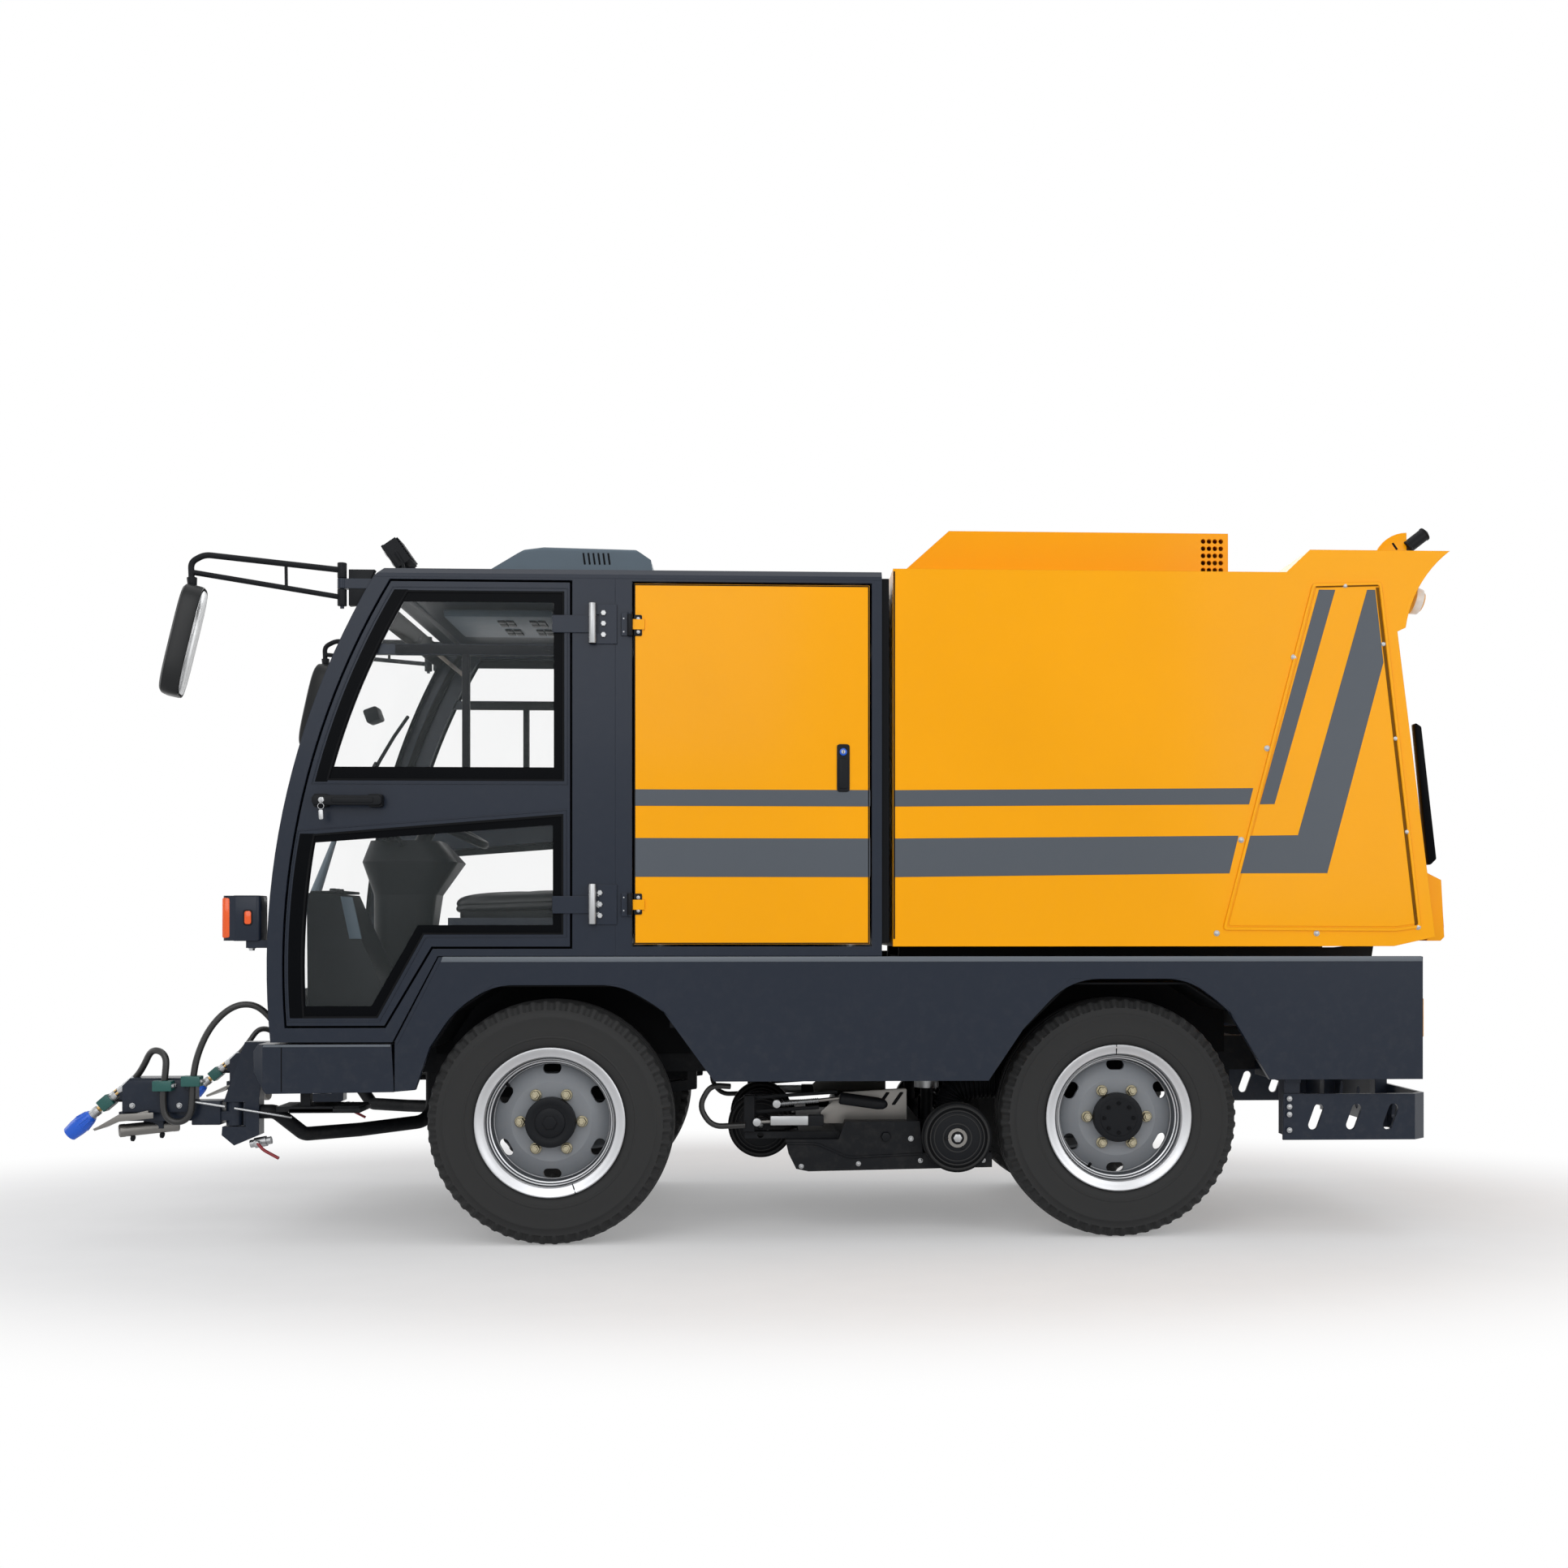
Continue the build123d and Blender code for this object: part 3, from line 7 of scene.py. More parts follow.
import logging
import math
from dataclasses import dataclass
from enum import Enum
from typing import Iterable, Sequence

import bmesh
import bpy
from mathutils import Matrix, Vector


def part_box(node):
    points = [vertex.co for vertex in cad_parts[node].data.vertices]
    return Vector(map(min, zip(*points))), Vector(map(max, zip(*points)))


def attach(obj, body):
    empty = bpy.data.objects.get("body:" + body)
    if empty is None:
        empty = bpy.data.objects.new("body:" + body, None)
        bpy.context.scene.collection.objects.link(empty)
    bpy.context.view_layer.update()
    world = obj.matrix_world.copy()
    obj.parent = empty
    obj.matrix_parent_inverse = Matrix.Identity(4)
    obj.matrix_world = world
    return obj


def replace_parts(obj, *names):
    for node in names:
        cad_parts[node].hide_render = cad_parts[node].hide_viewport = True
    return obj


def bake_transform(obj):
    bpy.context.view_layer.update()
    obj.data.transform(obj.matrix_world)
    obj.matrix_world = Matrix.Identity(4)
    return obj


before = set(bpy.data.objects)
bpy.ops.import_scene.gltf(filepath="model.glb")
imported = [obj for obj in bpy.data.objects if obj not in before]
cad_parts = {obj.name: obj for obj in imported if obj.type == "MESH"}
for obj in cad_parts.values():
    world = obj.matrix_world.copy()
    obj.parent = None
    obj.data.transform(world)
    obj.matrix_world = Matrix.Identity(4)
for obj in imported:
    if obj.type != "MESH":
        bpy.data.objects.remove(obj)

log = logging.getLogger("truck")
Point = tuple[float, float, float]
Spot = tuple[float, float]
Outline = Sequence[Spot]
Profile = Sequence[Spot]
Colour = tuple[float, float, float]
MM = 0.001
AXLE_X = sum(corner.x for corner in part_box("front_axle")) / 2 / MM
SKIN = 700.0
BEVEL_ANGLE = 28.0
OUTBOARD = Vector((0.0, 1.0, 0.0))
SQUARE = ((-1, -1), (1, -1), (1, 1), (-1, 1))


class Side(Enum):
    """Side of the truck; the value is the sign of Y."""

    LEFT = 1
    RIGHT = -1

    @property
    def word(self) -> str:
        """The side's name as the CAD nodes spell it."""
        return self.name.lower()


# ---- shader graphs ---------------------------------------------------------------------------


class Value:
    """A shader socket on which Python arithmetic adds Math nodes."""

    def __init__(self, graph: "Nodes", socket: bpy.types.NodeSocket) -> None:
        """Wrap a socket of a graph."""
        self.graph = graph
        self.socket = socket

    def _math(self, operation: str, other: "Value | float", clamp: bool = False) -> "Value":
        """Add a Math node of that operation and return its output."""
        settings = {"operation": operation, "use_clamp": clamp}
        return Value(self.graph, self.graph.node("ShaderNodeMath", settings, {0: self, 1: other}).outputs[0])

    def __add__(self, other: "Value | float") -> "Value":
        """Sum."""
        return self._math("ADD", other)

    __radd__ = __add__

    def __mul__(self, other: "Value | float") -> "Value":
        """Product."""
        return self._math("MULTIPLY", other)

    __rmul__ = __mul__

    def clamped(self) -> "Value":
        """The value held between nought and one."""
        return self._math("ADD", 0.0, clamp=True)


class Nodes:
    """Any node tree, with one method that adds nodes and feeds their sockets."""

    def __init__(self, tree: bpy.types.NodeTree) -> None:
        """Wrap a tree."""
        self.tree = tree

    def link(self, source: bpy.types.NodeSocket, target: bpy.types.NodeSocket) -> None:
        """Join two sockets."""
        self.tree.links.new(source, target)

    def node(self, kind: str, settings: dict | None = None, inputs: dict | None = None) -> bpy.types.Node:
        """Add any node.

        Args:
            kind: the node's type name.
            settings: attributes set before the sockets, such as an operation.
            inputs: socket name or number to a number, colour, socket or Value.

        Returns:
            The new node.
        """
        made = self.tree.nodes.new(kind)
        for key, value in (settings or {}).items():
            setattr(made, key, value)
        for key, value in (inputs or {}).items():
            self.feed(made.inputs[key], value)
        return made

    def feed(self, socket: bpy.types.NodeSocket, value: object) -> None:
        """Fill a socket.

        Args:
            socket: the socket.
            value: a number, a colour, another socket or a Value.
        """
        if isinstance(value, Value):
            self.link(value.socket, socket)
        elif isinstance(value, bpy.types.NodeSocket):
            self.link(value, socket)
        elif hasattr(socket.default_value, "__len__") and len(socket.default_value) == 4 and len(value) == 3:
            socket.default_value = (*value, 1.0)
        else:
            socket.default_value = value


class Graph(Nodes):
    """A material's node tree with a Principled surface."""

    def __init__(self, name: str) -> None:
        """Make an empty material of that name.

        Args:
            name: the material's name.
        """
        self.material = bpy.data.materials.new(name)
        self.material.use_nodes = True
        super().__init__(self.material.node_tree)
        self.tree.nodes.clear()
        self.output = self.node("ShaderNodeOutputMaterial")
        self.surface = self.node("ShaderNodeBsdfPrincipled")
        self.link(self.surface.outputs[0], self.output.inputs[0])

    def place(self) -> bpy.types.NodeSocket:
        """Object coordinates."""
        return self.node("ShaderNodeTexCoord").outputs["Object"]

    def noise(self, scale: float, detail: float = 4.0, roughness: float = 0.5) -> Value:
        """Noise in object space."""
        inputs = {"Vector": self.place(), "Scale": scale, "Detail": detail, "Roughness": roughness}
        return Value(self, self.node("ShaderNodeTexNoise", None, inputs).outputs[0])

    def ramp(self, value: Value, low: float, high: float) -> Value:
        """A smooth step from nought at low to one at high.

        Args:
            value: what is compared.
            low: where it starts.
            high: where it ends.

        Returns:
            The step.
        """
        inputs = {"Value": value, "From Min": low, "From Max": high}
        return Value(
            self, self.node("ShaderNodeMapRange", {"interpolation_type": "SMOOTHSTEP"}, inputs).outputs[0],
        )

    def mix(self, factor: Value | float, first: object, second: object) -> bpy.types.NodeSocket:
        """Mix two colours.

        Args:
            factor: the second colour's share.
            first: the colour at nought.
            second: the colour at one.

        Returns:
            The mixed colour.
        """
        made = self.node("ShaderNodeMix", {"data_type": "RGBA"}, {"Factor": factor})
        colours = [socket for socket in made.inputs if socket.type == "RGBA"]
        self.feed(colours[0], first)
        self.feed(colours[1], second)
        return next(socket for socket in made.outputs if socket.type == "RGBA")

    def bump(self, height: Value, strength: float, distance: float, under: object) -> bpy.types.NodeSocket:
        """A Bump node's normal, laid on the normal under it."""
        inputs = {"Height": height, "Strength": strength, "Distance": distance, "Normal": under}
        return self.node("ShaderNodeBump", None, inputs).outputs[0]

    def rounded(self, radius: float) -> bpy.types.NodeSocket:
        """A normal that rounds sharp edges by a radius in metres."""
        return self.node("ShaderNodeBevel", {"samples": 4}, {"Radius": radius}).outputs[0]

    def cloudy(self, field: Value, colour: Colour, dark: float, pale: float) -> bpy.types.NodeSocket:
        """A colour that wanders between a darker and a paler shade of itself."""
        return self.mix(field, tuple(c * dark for c in colour), tuple(min(1.0, c * pale) for c in colour))

    def dress(self, **sockets: object) -> bpy.types.Material:
        """Feed the surface's sockets, with underscores for spaces, and return the material.

        Returns:
            The finished material.
        """
        for name, value in sockets.items():
            self.feed(self.surface.inputs[name.replace("_", " ")], value)
        return self.material


# ---- finishes --------------------------------------------------------------------------------


@dataclass(frozen=True)
class Paint:
    """Sprayed paint on sheet metal, with faint orange peel, road dust low down and soft edges."""

    name: str
    colour: Colour
    roughness: float = 0.32
    coat: float = 0.35
    dust: float = 0.12
    specular: float = 0.3
    edge: float = 0.003
    dust_colour: Colour = (0.30, 0.28, 0.25)
    dust_reach: Spot = (0.95, 0.25)

    def make(self) -> bpy.types.Material:
        """Build the material.

        Returns:
            The finished material.
        """
        g = Graph(self.name)
        cloudy = g.noise(1.6, 3.0)
        peel = g.noise(420.0, 2.0)
        fine = g.noise(35.0, 6.0, 0.6)
        height = Value(g, g.node("ShaderNodeSeparateXYZ", None, {"Vector": g.place()}).outputs[2])
        low = g.ramp(height, *self.dust_reach)
        dusty = (g.ramp(fine, 0.42, 0.75) * (low * 0.8 + 0.2)) * self.dust
        return g.dress(
            Base_Color=g.mix(dusty, g.cloudy(cloudy, self.colour, 0.93, 1.06), self.dust_colour),
            Roughness=(cloudy * 0.08 + (self.roughness - 0.04)) + dusty * 0.5,
            Specular_IOR_Level=self.specular,
            Coat_Weight=self.coat,
            Coat_Roughness=0.12,
            Normal=g.bump(peel, 0.06, 0.0004, g.rounded(self.edge)),
        )


@dataclass(frozen=True)
class Metal:
    """Bare or plated metal with a drawn grain and faint smears."""

    name: str
    colour: Colour
    roughness: float = 0.3
    grain: float = 0.3
    edge: float = 0.0015

    def make(self) -> bpy.types.Material:
        """Build the material.

        Returns:
            The finished material.
        """
        g = Graph(self.name)
        smear = g.noise(14.0, 5.0, 0.6)
        stretch = g.node("ShaderNodeMapping", None, {"Vector": g.place(), "Scale": (30.0, 30.0, 900.0)})
        lines = Value(
            g, g.node("ShaderNodeTexNoise", None, {"Vector": stretch.outputs[0], "Scale": 1.0}).outputs[0],
        )
        return g.dress(
            Base_Color=g.cloudy(smear, self.colour, 0.82, 1.0),
            Metallic=1.0,
            Roughness=smear * 0.16 + lines * 0.10 + (self.roughness - 0.1),
            Normal=g.bump(lines, self.grain * 0.2, 0.0003, g.rounded(self.edge)),
        )


@dataclass(frozen=True)
class Moulded:
    """Moulded plastic or rubber with a fine leathery grain."""

    name: str
    colour: Colour
    roughness: float = 0.5
    grain: float = 0.25
    specular: float = 0.5
    grain_scale: float = 900.0
    edge: float = 0.0015

    def make(self) -> bpy.types.Material:
        """Build the material.

        Returns:
            The finished material.
        """
        g = Graph(self.name)
        cells = g.node("ShaderNodeTexVoronoi", None, {"Vector": g.place(), "Scale": self.grain_scale})
        smear = g.noise(9.0, 4.0)
        return g.dress(
            Base_Color=g.cloudy(smear, self.colour, 0.85, 1.12),
            Roughness=smear * 0.12 + (self.roughness - 0.06),
            Specular_IOR_Level=self.specular,
            Normal=g.bump(Value(g, cells.outputs[0]), self.grain, 0.0003, g.rounded(self.edge)),
        )


@dataclass(frozen=True)
class Pane:
    """Clear safety glass."""

    name: str
    tint: Colour
    alpha: float = 0.02

    def make(self) -> bpy.types.Material:
        """Build the material.

        Returns:
            The finished material.
        """
        g = Graph(self.name)
        film = g.noise(3.0, 3.0)
        return g.dress(
            Base_Color=self.tint,
            Roughness=film * 0.03 + 0.01,
            Alpha=film * 0.02 + self.alpha,
            Specular_IOR_Level=0.2,
        )


FINISHES = (
    Paint("body_dark", (0.0120, 0.0178, 0.031), 0.32, coat=0.05, dust=0.03, specular=0.2),
    Paint("body_yellow", (0.93, 0.385, 0.0), 0.3, coat=0.12, dust=0.03, specular=0.1),
    Paint("stripe_grey", (0.082, 0.095, 0.113), 0.4, coat=0.05, dust=0.03, specular=0.2),
    Paint("frame_black", (0.008, 0.009, 0.011), 0.5, coat=0.0, dust=0.03, specular=0.12),
    Paint("wheel_silver", (0.20, 0.215, 0.235), 0.42, coat=0.1, dust=0.1, specular=0.3),
    # painted shadow colour for the strips inside the tank pocket's top and rear edges, not a paint of the truck
    Paint("pocket_shade", (0.16, 0.062, 0.0), 0.5, coat=0.0, dust=0.0, specular=0.1),
    # a paler copy of the body's dark paint, laid on top edges as a painted highlight
    Paint("edge_pale", (0.11, 0.128, 0.15), 0.35, coat=0.1, dust=0.02, specular=0.3),
    Metal("zinc_plate", (0.44, 0.45, 0.46), 0.36),
    Metal("stainless", (0.24, 0.232, 0.22), 0.42),
    Metal("brass", (0.78, 0.52, 0.22), 0.28),
    Metal("rim_lip", (0.60, 0.61, 0.63), 0.36),
    Metal("zinc_yellow", (0.42, 0.38, 0.27), 0.36),
    Metal("mirror_glass", (0.50, 0.51, 0.52), 0.16, grain=0.0),
    Moulded("hose_rubber", (0.008, 0.008, 0.009), 0.42, grain=0.15, specular=0.15, grain_scale=700.0),
    Moulded("mirror_black", (0.008, 0.009, 0.010), 0.35, grain=0.03, specular=0.25),
    Moulded("lamp_red", (0.55, 0.012, 0.008), 0.14, grain=0.0),
    Moulded("tyre_black", (0.022, 0.0225, 0.023), 0.66, grain=0.08, specular=0.25, grain_scale=600.0),
    Moulded("rubber_black", (0.006, 0.0065, 0.0075), 0.6, grain=0.05, specular=0.06),
    Moulded("plastic_black", (0.008, 0.009, 0.011), 0.45, grain=0.06, specular=0.12),
    Moulded("plastic_grey", (0.092, 0.130, 0.165), 0.45, grain=0.06, specular=0.3),
    Moulded("blue_nozzle", (0.004, 0.10, 0.62), 0.3, grain=0.05),
    Moulded("green_clamp", (0.006, 0.085, 0.075), 0.4, grain=0.1),
    Moulded("red_grip", (0.24, 0.008, 0.015), 0.35, grain=0.05),
    Moulded("leather_black", (0.016, 0.017, 0.019), 0.45, grain=0.5, grain_scale=260.0),
    Moulded("amber_lens", (0.85, 0.10, 0.005), 0.12, grain=0.0),
    Moulded("lamp_white", (0.75, 0.75, 0.72), 0.12, grain=0.0),
    Moulded("lens_pale", (0.72, 0.36, 0.10), 0.2, grain=0.0),
    Moulded("visor_beige", (0.36, 0.31, 0.25), 0.7, grain=0.1),
    Moulded("glass_print", (0.0025, 0.003, 0.004), 0.25, grain=0.0, specular=0.03),
    Pane("glass_clear", (0.42, 0.47, 0.48)),
)


# ---- outlines and places ---------------------------------------------------------------------


def circle(count: int) -> list[Spot]:
    """Cosine and sine of equal steps round a turn."""
    return [(math.cos(math.tau * step / count), math.sin(math.tau * step / count)) for step in range(count)]


def squarish(count: int, power: float) -> list[Spot]:
    """A circle pushed out towards a square; the lower the power, the squarer."""
    return [(math.copysign(abs(c) ** power, c), math.copysign(abs(s) ** power, s)) for c, s in circle(count)]


def arc(corner: Vector, back: Vector, ahead: Vector, reach: float, steps: int) -> list[Vector]:
    """Round a corner.

    Args:
        corner: the corner.
        back: the way to the corner before it.
        ahead: the way to the corner after it.
        reach: how far back and ahead the curve starts, cut down where a side is short.
        steps: pieces in the curve.

    Returns:
        The curve's points.
    """
    cut = min(reach, back.length * 0.45, ahead.length * 0.45)
    start, end = corner + back.normalized() * cut, corner + ahead.normalized() * cut
    shares = [step / steps for step in range(steps + 1)]
    return [start * (1 - t) ** 2 + corner * 2 * t * (1 - t) + end * t * t for t in shares]


def rounded(outline: Outline, radius: float, steps: int = 5) -> list[Spot]:
    """Round every corner of a closed outline.

    Args:
        outline: corners in order.
        radius: wanted radius, cut down where a side is short.
        steps: pieces in each corner's curve.

    Returns:
        The rounded outline.
    """
    points = []
    for index, here in enumerate(outline):
        corner = Vector(here)
        back = Vector(outline[index - 1]) - corner
        ahead = Vector(outline[(index + 1) % len(outline)]) - corner
        points += arc(corner, back, ahead, radius / math.tan(back.angle(ahead) / 2), steps)
    return [tuple(point) for point in points]


def rectangle(left: float, foot: float, right: float, head: float, radius: float = 0.0) -> list[Spot]:
    """A rectangle's corners, or its outline with rounded corners."""
    outline = [(left, foot), (right, foot), (right, head), (left, head)]
    return rounded(outline, radius) if radius else outline


def inset(outline: Outline, width: float) -> list[Spot]:
    """Move every side of a closed outline inward.

    Args:
        outline: corners in order.
        width: how far; a negative width moves the sides outward.

    Returns:
        The new outline.
    """
    turn = sum(a[0] * b[1] - b[0] * a[1] for a, b in zip(outline, [*outline[1:], outline[0]]))
    sign = 1.0 if turn > 0 else -1.0
    points = []
    for index, here in enumerate(outline):
        corner = Vector(here)
        into = (corner - Vector(outline[index - 1])).normalized()
        out = (Vector(outline[(index + 1) % len(outline)]) - corner).normalized()
        normal = Vector((-into.y - out.y, into.x + out.x)) * sign
        lean = max(0.25, normal.length_squared / 2)
        points.append(tuple(corner + normal * width / lean))
    return points


def smooth_route(corners: Sequence[Point], bend: float, steps: int = 6) -> list[Vector]:
    """Make a bent tube's centre line.

    Args:
        corners: its ends and the corners between them.
        bend: how far from a corner each bend starts.
        steps: pieces in each bend.

    Returns:
        Straight runs with rounded corners.
    """
    route = [Vector(corners[0])]
    for before, here, after in zip(corners, corners[1:], corners[2:]):
        corner = Vector(here)
        route += arc(corner, Vector(before) - corner, Vector(after) - corner, bend, steps)
    return [*route, Vector(corners[-1])]


def corners(node: str) -> tuple[Vector, Vector]:
    """A CAD node's lowest and highest corners in millimetres, X from the front axle.

    Args:
        node: the CAD node.

    Returns:
        The lowest corner and the highest.
    """
    low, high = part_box(node)
    shift = Vector((AXLE_X, 0.0, 0.0))
    return Vector(low) / MM - shift, Vector(high) / MM - shift


def metres(point: Sequence[float], side: Side = Side.LEFT) -> Vector:
    """A point in millimetres from the front axle, in the truck's frame in metres."""
    return Vector(((point[0] + AXLE_X) * MM, point[1] * side.value * MM, point[2] * MM))


def facing_out(spots: Iterable[Spot], y: float) -> list[tuple[Point, Point]]:
    """Points on a side plane that face outboard."""
    return [((x, y, z), (0.0, 1.0, 0.0)) for x, z in spots]


def outboard_at(place: Vector) -> Matrix:
    """Where a small piece goes so that its face looks outboard."""
    return Matrix.Translation(place) @ Matrix.Rotation(math.radians(-90.0), 4, "X")


# ---- meshes ----------------------------------------------------------------------------------


class Pattern(Enum):
    """How Geometry Nodes lay out copies of one small piece."""

    RING = "ring"
    POINTS = "points"

    @property
    def tree(self) -> bpy.types.NodeTree:
        """The pattern's node tree, built the first time."""
        name = f"repeat_{self.value}"
        return bpy.data.node_groups[name] if name in bpy.data.node_groups else self.plant(name)

    def plant(self, name: str) -> bpy.types.NodeTree:
        """Build the node tree, with named inputs.

        Args:
            name: the tree's name.

        Returns:
            The tree.
        """
        tree = bpy.data.node_groups.new(name, "GeometryNodeTree")
        for label, kind in (
            ("Geometry", "Geometry"), ("Item", "Object"), ("Finish", "Material"), ("Count", "Int"), ("Size", "Float"),
        ):
            tree.interface.new_socket(label, in_out="INPUT", socket_type=f"NodeSocket{kind}")
        tree.interface.new_socket("Geometry", in_out="OUTPUT", socket_type="NodeSocketGeometry")
        nodes = Nodes(tree)
        given = nodes.node("NodeGroupInput").outputs
        item = nodes.node("GeometryNodeObjectInfo", None, {"Object": given["Item"]}).outputs["Geometry"]
        if self is Pattern.RING:
            ring = {"Vertices": given["Count"], "Radius": given["Size"]}
            points = nodes.node("GeometryNodeMeshCircle", None, ring).outputs[0]
            way = nodes.node("GeometryNodeInputPosition").outputs[0]
            axes = {"axis": "X", "pivot_axis": "Z"}
        else:
            points = given["Geometry"]
            vector = {"data_type": "FLOAT_VECTOR"}
            way = nodes.node("GeometryNodeInputNamedAttribute", vector, {"Name": "facing"}).outputs[0]
            axes = {"axis": "Z"}
        spin = nodes.node("FunctionNodeAlignRotationToVector", axes, {"Vector": way}).outputs[0]
        placed = {"Points": points, "Instance": item, "Rotation": spin}
        copies = nodes.node("GeometryNodeInstanceOnPoints", None, placed).outputs[0]
        real = nodes.node("GeometryNodeRealizeInstances", None, {"Geometry": copies}).outputs[0]
        painted = nodes.node("GeometryNodeSetMaterial", None, {"Geometry": real, "Material": given["Finish"]})
        nodes.link(painted.outputs[0], nodes.node("NodeGroupOutput").inputs[0])
        return tree


class Piece:
    """One mesh of the truck. A right-hand piece is built as a left-hand one and mirrored when finished."""

    def __init__(self, name: str, side: Side = Side.LEFT) -> None:
        """Start an empty mesh.

        Args:
            name: the piece's name.
            side: the side it is built for; the far side is mirrored.
        """
        self.name = name
        self.side = side
        self.mesh = bmesh.new()
        self.finishes: list[str] = []

    def slot(self, finish: str) -> int:
        """The number of a finish's material slot.

        Args:
            finish: the finish's name.

        Returns:
            The slot's number.
        """
        if finish not in self.finishes:
            self.finishes.append(finish)
        return self.finishes.index(finish)

    def add(
        self, points: Iterable[Sequence[float]], faces: Iterable[Sequence[int]], finish: str, bevel: float
    ) -> None:
        """Add a closed shell.

        Args:
            points: its corners.
            faces: its faces, as numbers of corners.
            finish: its material.
            bevel: width of the bevel on its sharp edges.
        """
        corners = [self.mesh.verts.new(point) for point in points]
        made = [self.mesh.faces.new([corners[index] for index in face]) for face in faces]
        slot = self.slot(finish)
        for face in made:
            face.material_index = slot
            face.smooth = True
        bmesh.ops.recalc_face_normals(self.mesh, faces=made)
        if bevel:
            sharp = math.radians(BEVEL_ANGLE)
            edges = {edge for face in made for edge in face.edges if edge.calc_face_angle(0.0) > sharp}
            bmesh.ops.bevel(
                self.mesh, geom=list(edges), offset=bevel, segments=2, profile=0.5, affect="EDGES",
                clamp_overlap=True, material=-1,
            )

    def loft(
        self, rings: Sequence[Sequence[Sequence[float]]], finish: str, closed: bool = False, bevel: float = 0.0
    ) -> None:
        """Join rings of as many points each into a shell.

        Args:
            rings: the rings in order.
            finish: its material.
            closed: whether the last ring meets the first; else both ends are capped.
            bevel: width of the bevel on its sharp edges.
        """
        count = len(rings[0])
        points = [point for ring in rings for point in ring]
        faces = []
        for row in range(len(rings) if closed else len(rings) - 1):
            low, high = row * count, (row + 1) % len(rings) * count
            for step in range(count):
                after = (step + 1) % count
                faces.append((low + step, low + after, high + after, high + step))
        if not closed:
            faces.append(tuple(range(count - 1, -1, -1)))
            faces.append(tuple(range(len(points) - count, len(points))))
        self.add(points, faces, finish, bevel)

    def plate(
        self, outline: Outline, low: float, high: float, finish: str, bevel: float = 0.0, across: str = "y"
    ) -> None:
        """Add a flat plate.

        Args:
            outline: its corners in order.
            low: where it starts on the axis across it.
            high: where it ends.
            finish: its material.
            bevel: width of the bevel on its sharp edges.
            across: the axis across it.
        """
        lift = {
            "x": lambda a, b, h: (h, a, b), "y": lambda a, b, h: (a, h, b), "z": lambda a, b, h: (a, b, h),
        }[across]
        self.loft([[lift(a, b, height) for a, b in outline] for height in (low, high)], finish, bevel=bevel)

    def border(self, outline: Outline, inner: Outline, low: float, high: float, finish: str) -> None:
        """A flat ring between two outlines of as many points each, facing along Y."""
        walls = ((outline, low), (outline, high), (inner, high), (inner, low))
        self.loft([[(a, y, b) for a, b in ring] for ring, y in walls], finish, closed=True)

    def block(
        self, low: Point, high: Point, finish: str, bevel: float = 1.0, turn: float = 0.0, place: Matrix | None = None
    ) -> None:
        """Add a box.

        Args:
            low: its lowest corner.
            high: its highest corner.
            finish: its material.
            bevel: width of the bevel on its edges.
            turn: degrees that it is turned about Y through its middle.
            place: where the box's own frame lies.
        """
        middle, half = (Vector(low) + Vector(high)) / 2, (Vector(high) - Vector(low)) / 2
        spin = Matrix.Rotation(math.radians(turn), 3, "Y")
        frame_of = place or Matrix.Identity(4)
        rings = [
            [frame_of @ (middle + spin @ Vector((half.x * a, half.y * b, half.z * c))) for a, b in SQUARE]
            for c in (-1, 1)
        ]
        self.loft(rings, finish, bevel=bevel)

    def drum(
        self, start: Point, end: Point, radius: float, finish: str, end_radius: float | None = None,
        sides: int = 24, bevel: float = 0.0,
    ) -> None:
        """A cylinder or cone between two points."""
        profile = ((0.0, radius), (1.0, radius if end_radius is None else end_radius))
        self.turned(start, end, profile, finish, sides, bevel)

    def turned(
        self, start: Point, end: Point, profile: Profile, finish: str, sides: int = 24, bevel: float = 0.0
    ) -> None:
        """Add a turned shell between two points.

        Args:
            start: where its axis starts.
            end: where its axis ends.
            profile: share of the way along and radius there, in order.
            finish: its material.
            sides: pieces round it.
            bevel: width of the bevel on its sharp edges.
        """
        first, axis = Vector(start), Vector(end) - Vector(start)
        spin = axis.to_track_quat("Z", "Y")
        rings = [
            [first + axis * share + spin @ Vector((radius * c, radius * s, 0.0)) for c, s in circle(sides)]
            for share, radius in profile
        ]
        self.loft(rings, finish, bevel=bevel)

    def hoop(self, centre: Point, profile: Profile, finish: str, sides: int = 72) -> None:
        """Add a closed section turned about Y.

        Args:
            centre: the hoop's middle.
            profile: radius and distance outboard, in order.
            finish: its material.
            sides: pieces round it.
        """
        spin = OUTBOARD.to_track_quat("Z", "Y")
        rings = [
            [Vector(centre) + spin @ Vector((radius * c, radius * s, far)) for radius, far in profile]
            for c, s in circle(sides)
        ]
        self.loft(rings, finish, closed=True)

    def tube(self, corners: Sequence[Point], radius: float, finish: str, bend: float = 20.0, sides: int = 12) -> None:
        """A round bar or hose along a bent line."""
        self.follow(smooth_route(corners, bend), radius, finish, sides)

    def follow(
        self, route: Sequence[Vector], radius: float, finish: str, sides: int = 12, closed: bool = False
    ) -> None:
        """Add a round bar whose centre line runs through every given point.

        Args:
            route: the points.
            radius: the bar's radius.
            finish: its material.
            sides: pieces round it.
            closed: whether its end meets its start.
        """
        rings = []
        side_way = OUTBOARD.copy()
        for index, here in enumerate(route):
            before = route[index - 1] if closed else route[max(index - 1, 0)]
            after = route[(index + 1) % len(route)] if closed else route[min(index + 1, len(route) - 1)]
            way = (after - before).normalized()
            side_way = side_way - way * side_way.dot(way)
            if side_way.length < 0.05:
                side_way = way.orthogonal()
            side_way = side_way.normalized()
            other = way.cross(side_way)
            rings.append([here + (side_way * c + other * s) * radius for c, s in circle(sides)])
        self.loft(rings, finish, closed=closed)

